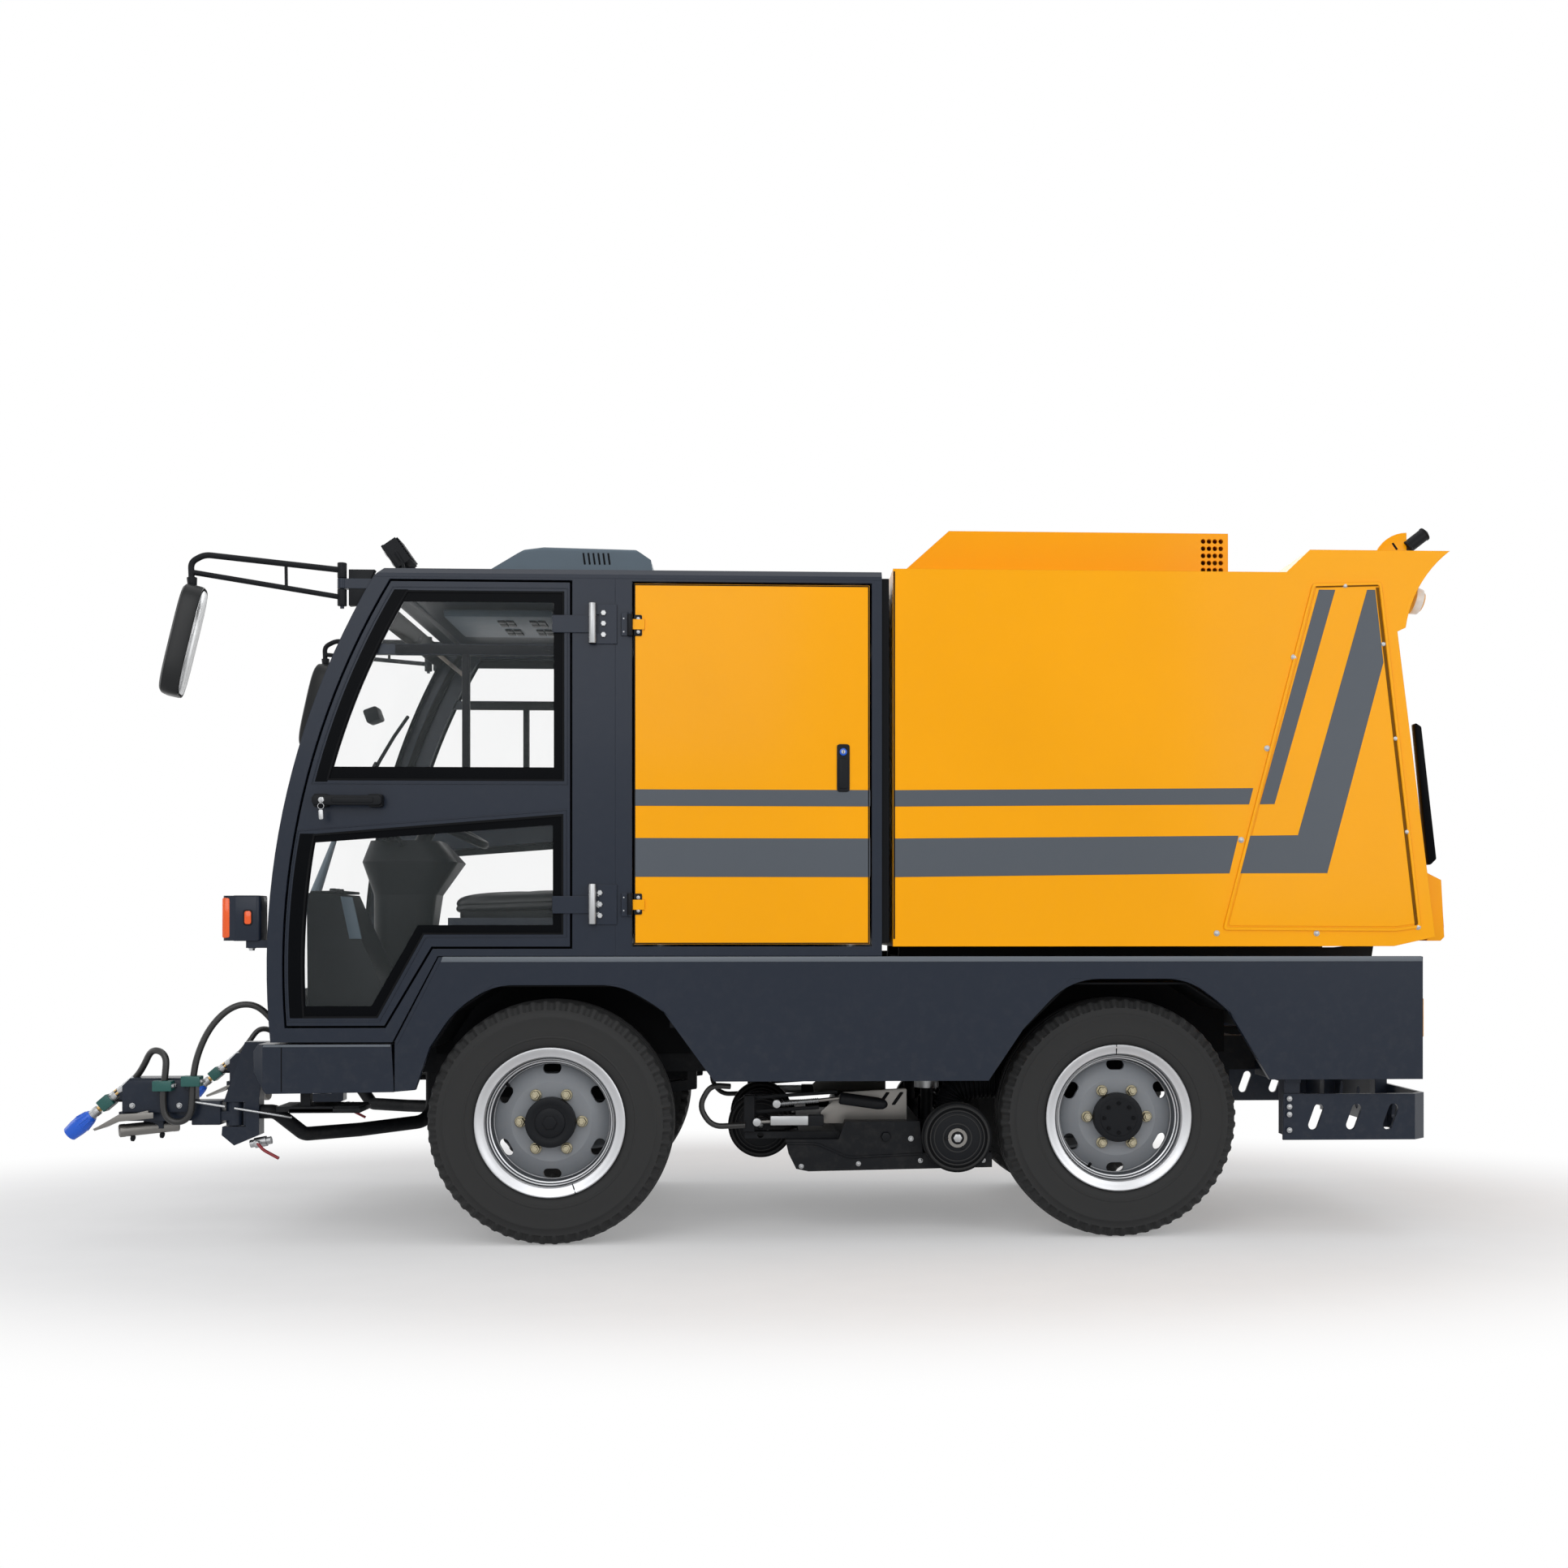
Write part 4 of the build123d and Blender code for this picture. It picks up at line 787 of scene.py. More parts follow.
    def repeat(
        self, pattern: Pattern, item: "Piece", finish: str, spots: Sequence[tuple[Point, Point]] = (),
        place: Matrix | None = None, count: int = 1, size: float = 0.0,
    ) -> None:
        """Copy a small piece by Geometry Nodes and add the copies.

        Args:
            pattern: ring or points.
            item: the small piece, built about its own origin with its face along Z.
            finish: the copies' material.
            spots: place and facing of each copy, for the points pattern.
            place: where the whole pattern goes.
            count: copies round the ring.
            size: the ring's radius.
        """
        mesh = bpy.data.meshes.new("item")
        item.mesh.to_mesh(mesh)
        base = bpy.data.meshes.new("spots")
        if spots:
            base.from_pydata([spot for spot, _ in spots], [], [])
            facing = base.attributes.new("facing", "FLOAT_VECTOR", "POINT")
            for index, (_, way) in enumerate(spots):
                facing.data[index].vector = way
        copy, host = bpy.data.objects.new("item", mesh), bpy.data.objects.new("host", base)
        for spare in (copy, host):
            bpy.context.collection.objects.link(spare)
        modifier = host.modifiers.new("repeat", "NODES")
        modifier.node_group = pattern.tree
        given = {"Item": copy, "Finish": bpy.data.materials[finish], "Count": count, "Size": size}
        for socket in modifier.node_group.interface.items_tree:
            if socket.in_out == "INPUT" and socket.name in given:
                modifier[socket.identifier] = given[socket.name]
        graph = bpy.context.evaluated_depsgraph_get()
        copies = bpy.data.meshes.new_from_object(host.evaluated_get(graph))
        for spare in (host, copy):
            bpy.data.objects.remove(spare)
        self.absorb(copies, place or Matrix.Identity(4), finish)

    def stud(self, item: "Piece", spots: Sequence[tuple[Point, Point]]) -> None:
        """Put a zinc-plated screw or bolt on every spot, facing its way."""
        self.repeat(Pattern.POINTS, item, "zinc_plate", spots)

    def absorb(self, mesh: bpy.types.Mesh, place: Matrix, finish: str) -> None:
        """Add a finished mesh.

        Args:
            mesh: the mesh, which is used up.
            place: where it goes.
            finish: its material.
        """
        slot = self.slot(finish)
        mesh.transform(place)
        had = set(self.mesh.faces)
        self.mesh.from_mesh(mesh)
        for face in self.mesh.faces:
            if face not in had:
                face.material_index = slot
                face.smooth = True
        bpy.data.meshes.remove(mesh)

    def finish(self, sharp: float = 32.0) -> bpy.types.Object:
        """Turn the mesh into an object in the truck's frame, in metres.

        Args:
            sharp: degrees past which an edge isn't smoothed.

        Returns:
            The object.
        """
        flip = self.side.value
        for vert in self.mesh.verts:
            vert.co = metres(vert.co, self.side)
        if flip < 0:
            bmesh.ops.reverse_faces(self.mesh, faces=self.mesh.faces[:])
        mesh = bpy.data.meshes.new(self.name)
        self.mesh.to_mesh(mesh)
        self.mesh.free()
        mesh.set_sharp_from_angle(angle=math.radians(sharp))
        for name in self.finishes:
            mesh.materials.append(bpy.data.materials[name])
        made = bpy.data.objects.new(self.name, mesh)
        bpy.context.collection.objects.link(made)
        return made

    def done(self, body: str, sharp: float = 32.0) -> bpy.types.Object:
        """Finish the piece and let it ride on a body.

        Args:
            body: the body's name.
            sharp: degrees past which an edge isn't smoothed.

        Returns:
            The piece's object.
        """
        made = self.finish(sharp)
        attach(made, body)
        log.info("%s: %d faces on %s", self.name, len(made.data.polygons), body)
        return made


def small_item(*parts: tuple[float, float, Profile, int]) -> Piece:
    """A screw or nut with its face along Z, from the start, end, profile and sides of its parts.

    Returns:
        The item.
    """
    item = Piece("item")
    for start, end, profile, sides in parts:
        item.turned((0, 0, start), (0, 0, end), profile, "zinc_plate", sides)
    return item


def bolt_item(radius: float, height: float, washer: float = 1.5) -> Piece:
    """A hexagon head with a chamfered top on a washer.

    Args:
        radius: radius of the head.
        height: height of the head.
        washer: thickness of the washer.

    Returns:
        The item.
    """
    flange = ((0.0, radius * 1.45), (washer / height, radius * 1.45))
    head = ((0.0, radius * 1.12), (0.82, radius * 1.12), (1.0, radius * 0.92))
    return small_item((0, height, flange, 20), (washer, height, head, 6))


def dome_item(radius: float, height: float) -> Piece:
    """A low domed head with a flange."""
    dome = ((0.0, radius * 1.3), (0.2, radius * 1.3), (0.22, radius), (0.7, radius * 0.86), (1.0, radius * 0.4))
    return small_item((0, height, dome, 16))


# ---- spray hoses -----------------------------------------------------------------------------


@dataclass
class SprayHoses:
    """High-pressure hoses from the spray lances, looped down and up into the cab's front corners."""

    radius: float = 10.0
    route: tuple[Point, ...] = (
        (1306, 545, 488), (1281, 547, 512), (1257, 556, 548), (1235, 572, 586), (1213, 584, 594),
        (1190, 594, 587), (1176, 601, 568), (1177, 605, 530), (1182, 606, 486), (1185, 606, 440),
        (1181, 606, 398), (1158, 606, 375), (1124, 606, 375), (1101, 606, 398), (1097, 605, 440),
        (1096, 604, 500), (1084, 600, 580), (1046, 592, 668), (985, 582, 728), (925, 572, 736),
        (880, 564, 704), (852, 560, 662),
    )
    turn_start: float = 1080.0
    turn_end: float = 870.0
    sides: int = 16

    def line(self, side: Side) -> list[Vector]:
        """The smooth centre line of a hose, in metres.

        Args:
            side: side of the truck.

        Returns:
            Its points.
        """
        data = bpy.data.curves.new("hose_line", "CURVE")
        data.dimensions = "3D"
        data.resolution_u = 8
        spline = data.splines.new("NURBS")
        spline.points.add(len(self.route) - 1)
        for spot, corner in zip(spline.points, self.route):
            spot.co = (*metres(corner, side), 1.0)
        spline.order_u = 3
        spline.use_endpoint_u = True
        holder = bpy.data.objects.new("hose_line", data)
        bpy.context.collection.objects.link(holder)
        graph = bpy.context.evaluated_depsgraph_get()
        mesh = bpy.data.meshes.new_from_object(holder.evaluated_get(graph))
        points = [vert.co.copy() for vert in mesh.vertices]
        bpy.data.objects.remove(holder)
        bpy.data.meshes.remove(mesh)
        return points

    def build(self) -> None:
        for side in Side:
            name = f"spray_hose_rubber_{side.word}"
            path = self.line(side)
            piece = Piece(name)
            local = [point / MM - Vector((AXLE_X, 0.0, 0.0)) for point in path]
            piece.follow(local, self.radius, "hose_rubber", sides=self.sides)
            hose = piece.finish()
            start, end = self.route[0], self.route[-1]
            metres(start, side)
            middle = self.route[-3]
            f"spray_arm_{side.word}"
            metres((self.turn_start, end[1], middle[2]), side)
            metres((self.turn_end, end[1], middle[2]), side)
            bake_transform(hose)
            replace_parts(hose, f"spray_hose_{side.word}")


# ---- wheels ----------------------------------------------------------------------------------


@dataclass
class Wheels:
    """Four road wheels: ribbed tyres with notched shoulders, rim rings, nuts, hubs and valves."""

    notches: int = 60
    tread_wave: float = 5.0
    lip_radius: float = 229.0
    lip_inner: float = 197.0
    nut_circle: float = 94.0
    nut_count: int = 6
    hub_radius: float = 76.5
    hub_bolt_circle: float = 46.0
    front_hub: Profile = ((1.02, 58), (0.98, 55), (0.98, 47), (1.08, 45), (1.16, 39), (1.20, 33), (1.20, 5))
    rear_hub: Profile = ((1.02, 60), (1.10, 56), (1.12, 30), (1.12, 5))
    disc_out: float = 46.0
    lip_out: float = 88.0
    half_profile: tuple[Spot, ...] = (
        (206, 60), (225, 72), (231, 79), (240, 83.5), (252, 87), (257, 87.5), (259, 89.2), (262, 89.4), (264, 88.6),
        (290, 91.4), (316, 91.6), (319, 92.6), (323, 92.4), (326, 90.6), (340, 88.4), (344, 89.0), (348, 88.6),
        (351, 86.4), (363, 80.0), (370, 75.0), (373, 68.0), (374, 49), (367, 46), (367, 41), (374.4, 38), (374.8, 14),
        (367, 11), (367, 5),
    )
    notched: tuple[int, ...] = (16, 17, 18, 19, 20)

    def tyre(self, piece: Piece, centre: Point) -> None:
        """Add one tyre about its centre.

        Args:
            piece: the piece that takes it.
            centre: its middle.
        """
        rings = []
        for step, (c, s) in enumerate(circle(self.notches * 4)):
            cut = self.tread_wave if step % 4 < 2 else 0.0
            section = [
                (radius - cut, far - cut) if index in self.notched else (radius, far)
                for index, (radius, far) in enumerate(self.half_profile)
            ]
            section += [(radius, -far) for radius, far in reversed(section)]
            rings.append([Vector(centre) + Vector((radius * c, far, radius * s)) for radius, far in section])
        piece.loft(rings, "tyre_black", closed=True)

    def rim(self, piece: Piece, centre: Vector, front: bool) -> None:
        """Add the bright lip, the steps, the nuts, the hub and the valve of one wheel.

        Args:
            piece: the piece that takes the shells.
            centre: its middle.
            front: whether it is a front wheel.
        """
        lip = self.lip_out
        piece.hoop(
            centre,
            ((self.lip_radius, lip - 9), (self.lip_radius, lip - 2), (self.lip_radius - 3, lip), (219, lip - 1.5),
             (214, lip - 5), (self.lip_inner + 4, lip - 8), (self.lip_inner, lip - 13), (self.lip_inner, lip - 22),
             (220, lip - 14)),
            "rim_lip", 96,
        )
        for radius, far, width in ((193, lip - 26, 3), (187, lip - 36, 4), (178, self.disc_out - 26, 2.5)):
            piece.hoop(
                centre, ((radius + width, far), (radius, far + 2.4), (radius - width, far), (radius, far - 3)),
                "rim_lip", 96,
            )
        slit = math.radians(-110.0 if front else 88.0)
        near, far = (
            centre + Vector((reach * math.cos(slit), lip - back, reach * math.sin(slit)))
            for reach, back in ((self.lip_inner + 2, 10), (self.lip_radius - 1, 0.8))
        )
        piece.drum(near, far, 2.1, "rubber_black", sides=6)
        disc = centre + Vector((0.0, self.disc_out, 0.0))
        piece.repeat(
            Pattern.RING, self.nut(), "zinc_yellow", place=outboard_at(disc), count=self.nut_count,
            size=self.nut_circle
        )
        face = self.front_hub if front else self.rear_hub
        foot = ((0.0, self.hub_radius), (0.96, self.hub_radius), (1.02, self.hub_radius - 4))
        out = OUTBOARD
        piece.turned(disc - out * 2, disc + out * 34, (*foot, *face), "plastic_black", 48)
        if front:
            cap = ((0.0, 24), (0.7, 23), (1.0, 19))
            piece.turned(disc + out * 38, disc + out * 47, cap, "plastic_black", 6, bevel=0.8)
        else:
            piece.repeat(
                Pattern.RING, bolt_item(5.5, 8.0), "rubber_black", place=outboard_at(disc + out * 36), count=8,
                size=self.hub_bolt_circle,
            )
        valve = math.radians(41.0 if front else 300.0)
        way = Vector((math.cos(valve), 0.0, math.sin(valve)))
        piece.tube(
            (centre + way * 190 + out * (self.disc_out - 20), centre + way * 181 + out * (self.disc_out + 4),
             centre + way * 168 + out * (self.disc_out + 10)),
            5.0, "rubber_black", bend=6, sides=8,
        )

    def nut(self) -> Piece:
        """A flanged wheel nut with its stud, face along Z.

        Returns:
            The item.
        """
        return small_item(
            (0, 4.5, ((0.0, 18), (0.6, 18), (1.0, 16.5)), 20),
            (3, 21, ((0.0, 15.2), (0.85, 15.2), (1.0, 13)), 6),
            (18, 27, ((0.0, 8.5), (0.85, 8.5), (1.0, 7)), 12),
        )

    def build(self) -> None:
        """Build the four wheels."""
        for end in ("front", "rear"):
            for side in Side:
                low, high = corners(f"tyre_{end}_left")
                centre = (low + high) / 2
                piece = Piece(f"tyre_tread_{end}_{side.word}", side)
                self.tyre(piece, centre)
                tyre = piece.done(f"wheel_{end}_{side.word}", 24.0)
                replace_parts(tyre, f"tyre_{end}_{side.word}")
                detail = Piece(f"rim_detail_{end}_{side.word}", side)
                self.rim(detail, centre, end == "front")
                detail.done(f"wheel_{end}_{side.word}")


# ---- cab -------------------------------------------------------------------------------------


@dataclass
class CabFront:
    """The curve of the cab's nose, on which the windscreen and the doors' front edges lie."""

    reach: float = 846.0
    radius: float = 2350.0
    height: float = 850.0

    def at(self, z: float, inset_by: float = 0.0) -> float:
        """X of the nose, or of a line set in from it, at a height."""
        return self.reach - self.radius + math.sqrt((self.radius - inset_by) ** 2 - (z - self.height) ** 2)

    def run(self, low: float, high: float, inset_by: float, steps: int = 12) -> list[Spot]:
        """Points of the curve from one height to another."""
        heights = [low + (high - low) * step / steps for step in range(steps + 1)]
        return [(self.at(z, inset_by), z) for z in heights]


@dataclass
class CabDoors:
    """Glass bands, window bars, seals, handles, keys and hinge screws of both cab doors."""

    front: CabFront
    pane: float = 696.0
    print_out: float = 0.7
    handle: Point = (598.0, 735.0, 1352.0)
    bar_z: Spot = (1797.0, 1829.0)
    mullion_x: float = 253.0
    hinge_rows: tuple[tuple[float, tuple[float, ...]], ...] = (
        (-165.0, (1924.0, 1892.0, 1858.0)), (-154.0, (1075.0, 1040.0, 1006.0)),
    )

    def upper(self, band: tuple[float, float, float, float]) -> list[Spot]:
        """The upper window's outline drawn in by front, top, rear and foot bands.

        Args:
            band: how far the front, top, rear and foot sides move in.

        Returns:
            The outline.
        """
        front, top, rear, foot = band
        curve = self.front.run(1416 + foot, 1988 - top, 108 + front)
        return [*curve, (-44 + rear, 1988 - top), (-44 + rear, 1416 + foot)]

    def lower(self, band: tuple[float, float, float, float]) -> list[Spot]:
        """The lower window's outline drawn in by front, top, rear and foot bands.

        Args:
            band: how far the front, top, rear and foot sides move in.

        Returns:
            The outline.
        """
        front, top, rear, foot = band
        curve = self.front.run(698 + foot, 1250 - top, 104 + front)
        return [
            *curve, (-41 + rear, 1312 - top * 1.3), (-41 + rear, 950 + foot * 0.8),
            (377 + rear * 0.6, 950 + foot * 0.8), (516 + rear * 0.6, 698 + foot),
        ]

    def glazing(self, piece: Piece) -> None:
        """Black bands on the glass, rubber in the openings and the bars behind.

        Args:
            piece: the piece that takes the shells.
        """
        low, high = self.pane, self.pane + self.print_out
        for window, band in ((self.upper, (8, 32, 30, 40)), (self.lower, (8, 24, 30, 34))):
            piece.border(window((-1, -1, -1, -1)), window(band), low, high, "glass_print")
        for window in (self.upper, self.lower):
            piece.border(window((-2, -2, -2, -2)), window((4, 4, 4, 4)), SKIN - 8, SKIN + 0.8, "rubber_black")
        for low_z, high_z, ahead, behind in ((1410, 1992, 74, 108), (696, 1253, 64, 104)):
            shape = [*self.front.run(low_z, high_z, ahead), *self.front.run(low_z, high_z, behind + 2)[::-1]]
            piece.plate(shape, SKIN - 0.5, SKIN + 0.7, "glass_print")
        for window, front in ((self.upper, -43), (self.lower, -49)):
            bead = window((front, -13, -13, -13)), window((front + 3, -10, -10, -10))
            piece.border(*bead, SKIN - 0.5, SKIN + 1.6, "body_dark")
        bar_low, bar_high = self.bar_z
        piece.block(
            (-38, self.pane - 31, bar_low), (self.front.at(bar_high, 150), self.pane - 5.4, bar_high),
            "plastic_black", 3.0,
        )
        piece.block(
            (self.mullion_x - 11, self.pane - 31, 1424), (self.mullion_x + 11, self.pane - 5.5, bar_low + 4),
            "plastic_black", 3.0,
        )

    def lock(self, piece: Piece) -> None:
        """The pull handle with its lever, lock barrel, key and ring.

        Args:
            piece: the piece that takes the shells.
        """
        x, y, z = self.handle
        piece.plate(
            rectangle(x - 104, z - 15, x + 104, z + 15, 13), y - 9.2, y + 9,
            "plastic_black", bevel=3.0,
        )
        piece.plate(
            rectangle(x - 80, z - 8, x + 44, z + 8, 7), y + 8, y + 12,
            "plastic_black", bevel=1.5,
        )
        for end in (-81.0, 81.0):
            piece.plate(
                rectangle(x + end - 22, z - 20, x + end + 22, z + 20, 9),
                SKIN - 0.5, y - 8, "plastic_black", bevel=2.5,
            )
        lock = x + 74
        piece.drum((lock, y + 7, z), (lock, y + 14, z), 10, "zinc_plate", 8.5, bevel=1.0)
        piece.block((lock - 1.3, y + 12, z - 12), (lock + 1.3, y + 17.5, z + 8), "zinc_plate", 0.6)
        ring = [Vector((lock + 9 * c, y + 15.5, z - 19 + 9 * s)) for c, s in circle(20)]
        piece.follow(ring, 1.0, "zinc_plate", 8, closed=True)
        key = rounded([(lock - 7, z - 58), (lock + 6, z - 60), (lock + 8, z - 30), (lock - 5, z - 28)], 5)
        piece.plate(key, y + 11, y + 13.2, "zinc_plate", bevel=0.6)

    def build(self) -> None:
        """Build both doors' details."""
        for side in Side:
            piece = Piece(f"cab_door_trim_{side.word}", side)
            self.glazing(piece)
            self.lock(piece)
            piece.done(f"cab_door_{side.word}")
            screws = Piece(f"cab_hinge_screws_{side.word}", side)
            spots = [(x, z) for x, heights in self.hinge_rows for z in heights]
            screws.stud(bolt_item(8.0, 9.0), facing_out(spots, SKIN + 4.0))
            rings = []
            for grow in (11.0, -11.0):
                rings.append([
                    *self.front.run(666 - grow, 2020 + grow, 46 - grow), (-70 - grow, 2020 + grow),
                    (-70 - grow, 901 - grow), (350 - grow * 0.6, 901 - grow), (491 - grow * 0.6, 666 - grow),
                ])
            screws.border(rings[0], rings[1], 640, 657, "rubber_black")
            for z in (1891.0, 1040.0):
                screws.drum((-132, 714, z - 60), (-132, 714, z + 62), 12, "zinc_plate", sides=20, bevel=1.0)
            screws.done("truck_body")


@dataclass
class CabNose:
    """Windscreen band and seal, and the wiper."""

    front: CabFront
    half: float = 644.0
    glass_low: float = 712.0
    glass_high: float = 2004.0
    band: float = 46.0

    def strip(self, piece: Piece, edges: Outline, low: float, high: float, out: float, finish: str) -> None:
        """A strip that lies on the nose between two Y values, from one height to another.

        Args:
            piece: the piece that takes it.
            edges: the strip's two Y values.
            low: its foot.
            high: its head.
            out: how far it stands proud of the nose.
            finish: its material.
        """
        for left, right in edges:
            section = ((out, left), (out, right), (-2.0, right), (-2.0, left))
            rings = []
            for x, z in self.front.run(low, high, 0.0, 24):
                rise = z - self.front.height
                lean = math.atan2(rise, math.sqrt(self.front.radius**2 - rise**2))
                way = Vector((math.cos(lean), 0.0, math.sin(lean)))
                rings.append([Vector((x, 0.0, z)) + way * far + Vector((0, y, 0)) for far, y in section])
            piece.loft(rings, finish)

    def build(self) -> None:
        """Build the nose's details."""
        piece = Piece("windscreen_trim")
        half, band = self.half, self.band
        self.strip(
            piece, [(-half, band - half), (half - band, half)], self.glass_low, self.glass_high, 1.2,
            "glass_print",
        )
        inner = half - band
        for low, high in ((self.glass_low, self.glass_low + 60), (self.glass_high - 60, self.glass_high)):
            self.strip(piece, [(-inner, inner)], low, high, 1.2, "glass_print")
        seals = [(-half - 7, 2 - half), (half - 2, half + 7)]
        self.strip(piece, seals, self.glass_low, self.glass_high, 3.0, "rubber_black")
        piece.done("truck_body")
        wiper = Piece("wiper")
        heel = Vector((self.front.at(1040.0) + 4, 128.0, 1040.0))
        mid = Vector((self.front.at(1270.0) + 26, -90.0, 1270.0))
        tip = Vector((self.front.at(1565.0) + 18, -368.0, 1565.0))
        wiper.drum(heel - Vector((8, 0, 0)), heel + Vector((28, 0, 0)), 26, "plastic_grey", 20, bevel=2.0)
        wiper.drum(heel + Vector((18, 6, -8)), mid, 21, "plastic_grey", 9, sides=10, bevel=2.0)
        wiper.tube((mid + (heel - mid) * 0.1, mid, tip), 6.0, "plastic_black", bend=60, sides=10)
        blade = ((1380, -240), (1480, -312), (1573, -384), (1670, -470), (1754, -558))
        wiper.follow([Vector((self.front.at(z) + 11, y, z)) for z, y in blade], 7.0, "rubber_black", 8)
        wiper.done("truck_body")


@dataclass
class CabInterior:
    """What shows through the glass: headlining, vent panel, visor, camera, kick panel and console trims."""

    front: CabFront
    ceiling: float = 2022.0
    vent: Spot = (48.0, 406.0)

    def build(self) -> None:
        """Build the cab's inside."""
        piece = Piece("cab_inside_trim")
        low, high = self.vent
        piece.block((low, -210, self.ceiling - 26), (high, 210, self.ceiling - 2), "plastic_grey", 5.0)
        for left in (82.0, 110.0, 188.0, 216.0):
            for near in (-142.0, -86.0, 38.0, 94.0):
                grille = (left, near, self.ceiling - 31), (left + 24, near + 48, self.ceiling - 24)
                piece.block(*grille, "plastic_black", 2.0)
        piece.block((474, -440, self.ceiling - 142), (488, -160, self.ceiling - 62), "visor_beige", 4.0, 50)
        piece.block((655, -42, 1668), (703, 42, 1716), "plastic_black", 7.0, 20)
        piece.drum((697, 0, 1690), (706, 0, 1690), 13, "glass_print", 11, bevel=1.0)
        spots = [((742.0, y, 700.0), (-0.35, 0.0, 0.94)) for y in (-200.0, 0.0, 200.0)]
        piece.stud(dome_item(7.0, 5.0), spots)
        low_box, high_box = corners("dash_console")
        piece.plate(
            [(692, 1069), (654, 1066), (625, 934), (664, 934)], high_box.y - 3, high_box.y + 2.5,
            "plastic_grey", bevel=1.0,
        )
        piece.block(
            (low_box.x + 128, low_box.y + 8, high_box.z - 2), (high_box.x - 8, high_box.y - 8, high_box.z + 7),
            "plastic_black", 3.0, 0.6,
        )
        for step in range(3):
            y = low_box.y + 60 + step * 55
            piece.drum(
                (high_box.x - 60, y, high_box.z + 5), (high_box.x - 60, y, high_box.z + 16), 12,
                "plastic_black", 9,
            )
        piece.block((580, 40, 1262), (640, 190, 1334), "plastic_black", 8.0, -25)
        piece.block((573, 48, 1270), (578, 182, 1330), "glass_print", 1.0, -25)
        for sign in (-1, 1):
            piece.tube(
                ((560, sign * 110, 1240), (556, sign * 170, 1262), (560, sign * 230, 1270)), 6.0,
                "plastic_black", bend=20
            )
        wheel_low, wheel_high = corners("steering_wheel")
        hub = (wheel_low + wheel_high) / 2
        way = Vector((-0.447, 0.0, 0.894))
        piece.drum(hub - way * 20, hub + way * 19, 43, "plastic_black", 38, bevel=4.0)
        piece.done("truck_body")


@dataclass
class DriverSeat:
    """A padded seat: cushion and backrest with sewn channels, on its base box."""

    fill: float = 0.6
    channels: int = 4
    seam_width: float = 16.0
    seam_depth: float = 5.0
    layers: tuple[Point, ...] = (
        (0.90, 0.0, 0.0), (0.97, 0.06, 0.0), (1.0, 0.22, 0.0), (0.992, 0.40, 0.0), (0.972, 0.46, 0.0),
        (0.992, 0.52, 0.0), (0.985, 0.70, 0.1), (0.94, 0.86, 0.3), (0.84, 0.95, 0.55), (0.66, 0.99, 0.8),
        (0.45, 1.0, 0.93), (0.22, 1.0, 1.0),
    )

    def pad(self, size: Point, puff: float) -> list[list[Vector]]:
        """Rings of a cushion whose middle stands up and whose sides pull in.

        Args:
            size: length, width and thickness.
            puff: how far the middle stands above the rim.

        Returns:
            Rings from the underside to the top's middle.
        """
        length, width, depth = size
        rings = []
        for share, height, lift in self.layers:
            ring = []
            for c, s in squarish(64, 2.0 / 5.0):
                x, y = c * length / 2 * share, s * width / 2 * share
                seam = 0.0
                if lift > 0.2:
                    phase = (x / length + 0.5) * self.channels
                    near = abs(phase - round(phase)) * length / self.channels
                    if 0 < round(phase) < self.channels and near < self.seam_width and abs(y) < width * 0.34:
                        seam = self.seam_depth * (1 - near / self.seam_width) ** 2
                ring.append(Vector((x, y, height * depth * 0.9 + lift * puff - seam)))
            rings.append(ring)
        return rings

    def build(self) -> None:
        """Build the seat's base, cushion and backrest."""
        low, high = corners("driver_seat")
        base = Piece("seat_base")
        base.plate(
            rectangle(low.x + 30, low.y + 25, high.x - 30, high.y - 25, 30),
            low.z, low.z + 26, "plastic_black", bevel=3.0, across="z",
        )
        base.done("truck_body")
        long, wide = high.x - low.x, high.y - low.y
        for name, size, spot, lean, puff in (
            (
                "seat_cushion", (long - 28, wide - 12, 62.0), ((low.x + high.x) / 2 + 10, 0.0, low.z + 24),
                2.0, 14.0,
            ),
            ("seat_backrest", (255.0, wide - 44, 60.0), (low.x + 26, 0.0, low.z + 195), 81.0, 12.0),
        ):
            piece = Piece(name)
            place = Matrix.Translation(spot) @ Matrix.Rotation(math.radians(lean), 4, "Y")
            rings = [[place @ point for point in ring] for ring in self.pad(size, puff)]
            piece.loft(rings, "leather_black")
            made = piece.done("truck_body", 60.0)
            modifier = made.modifiers.new("smooth", "SUBSURF")
            modifier.levels = modifier.render_levels = 1
            if name == "seat_cushion":
                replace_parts(made, "driver_seat")


# ---- mirrors ---------------------------------------------------------------------------------


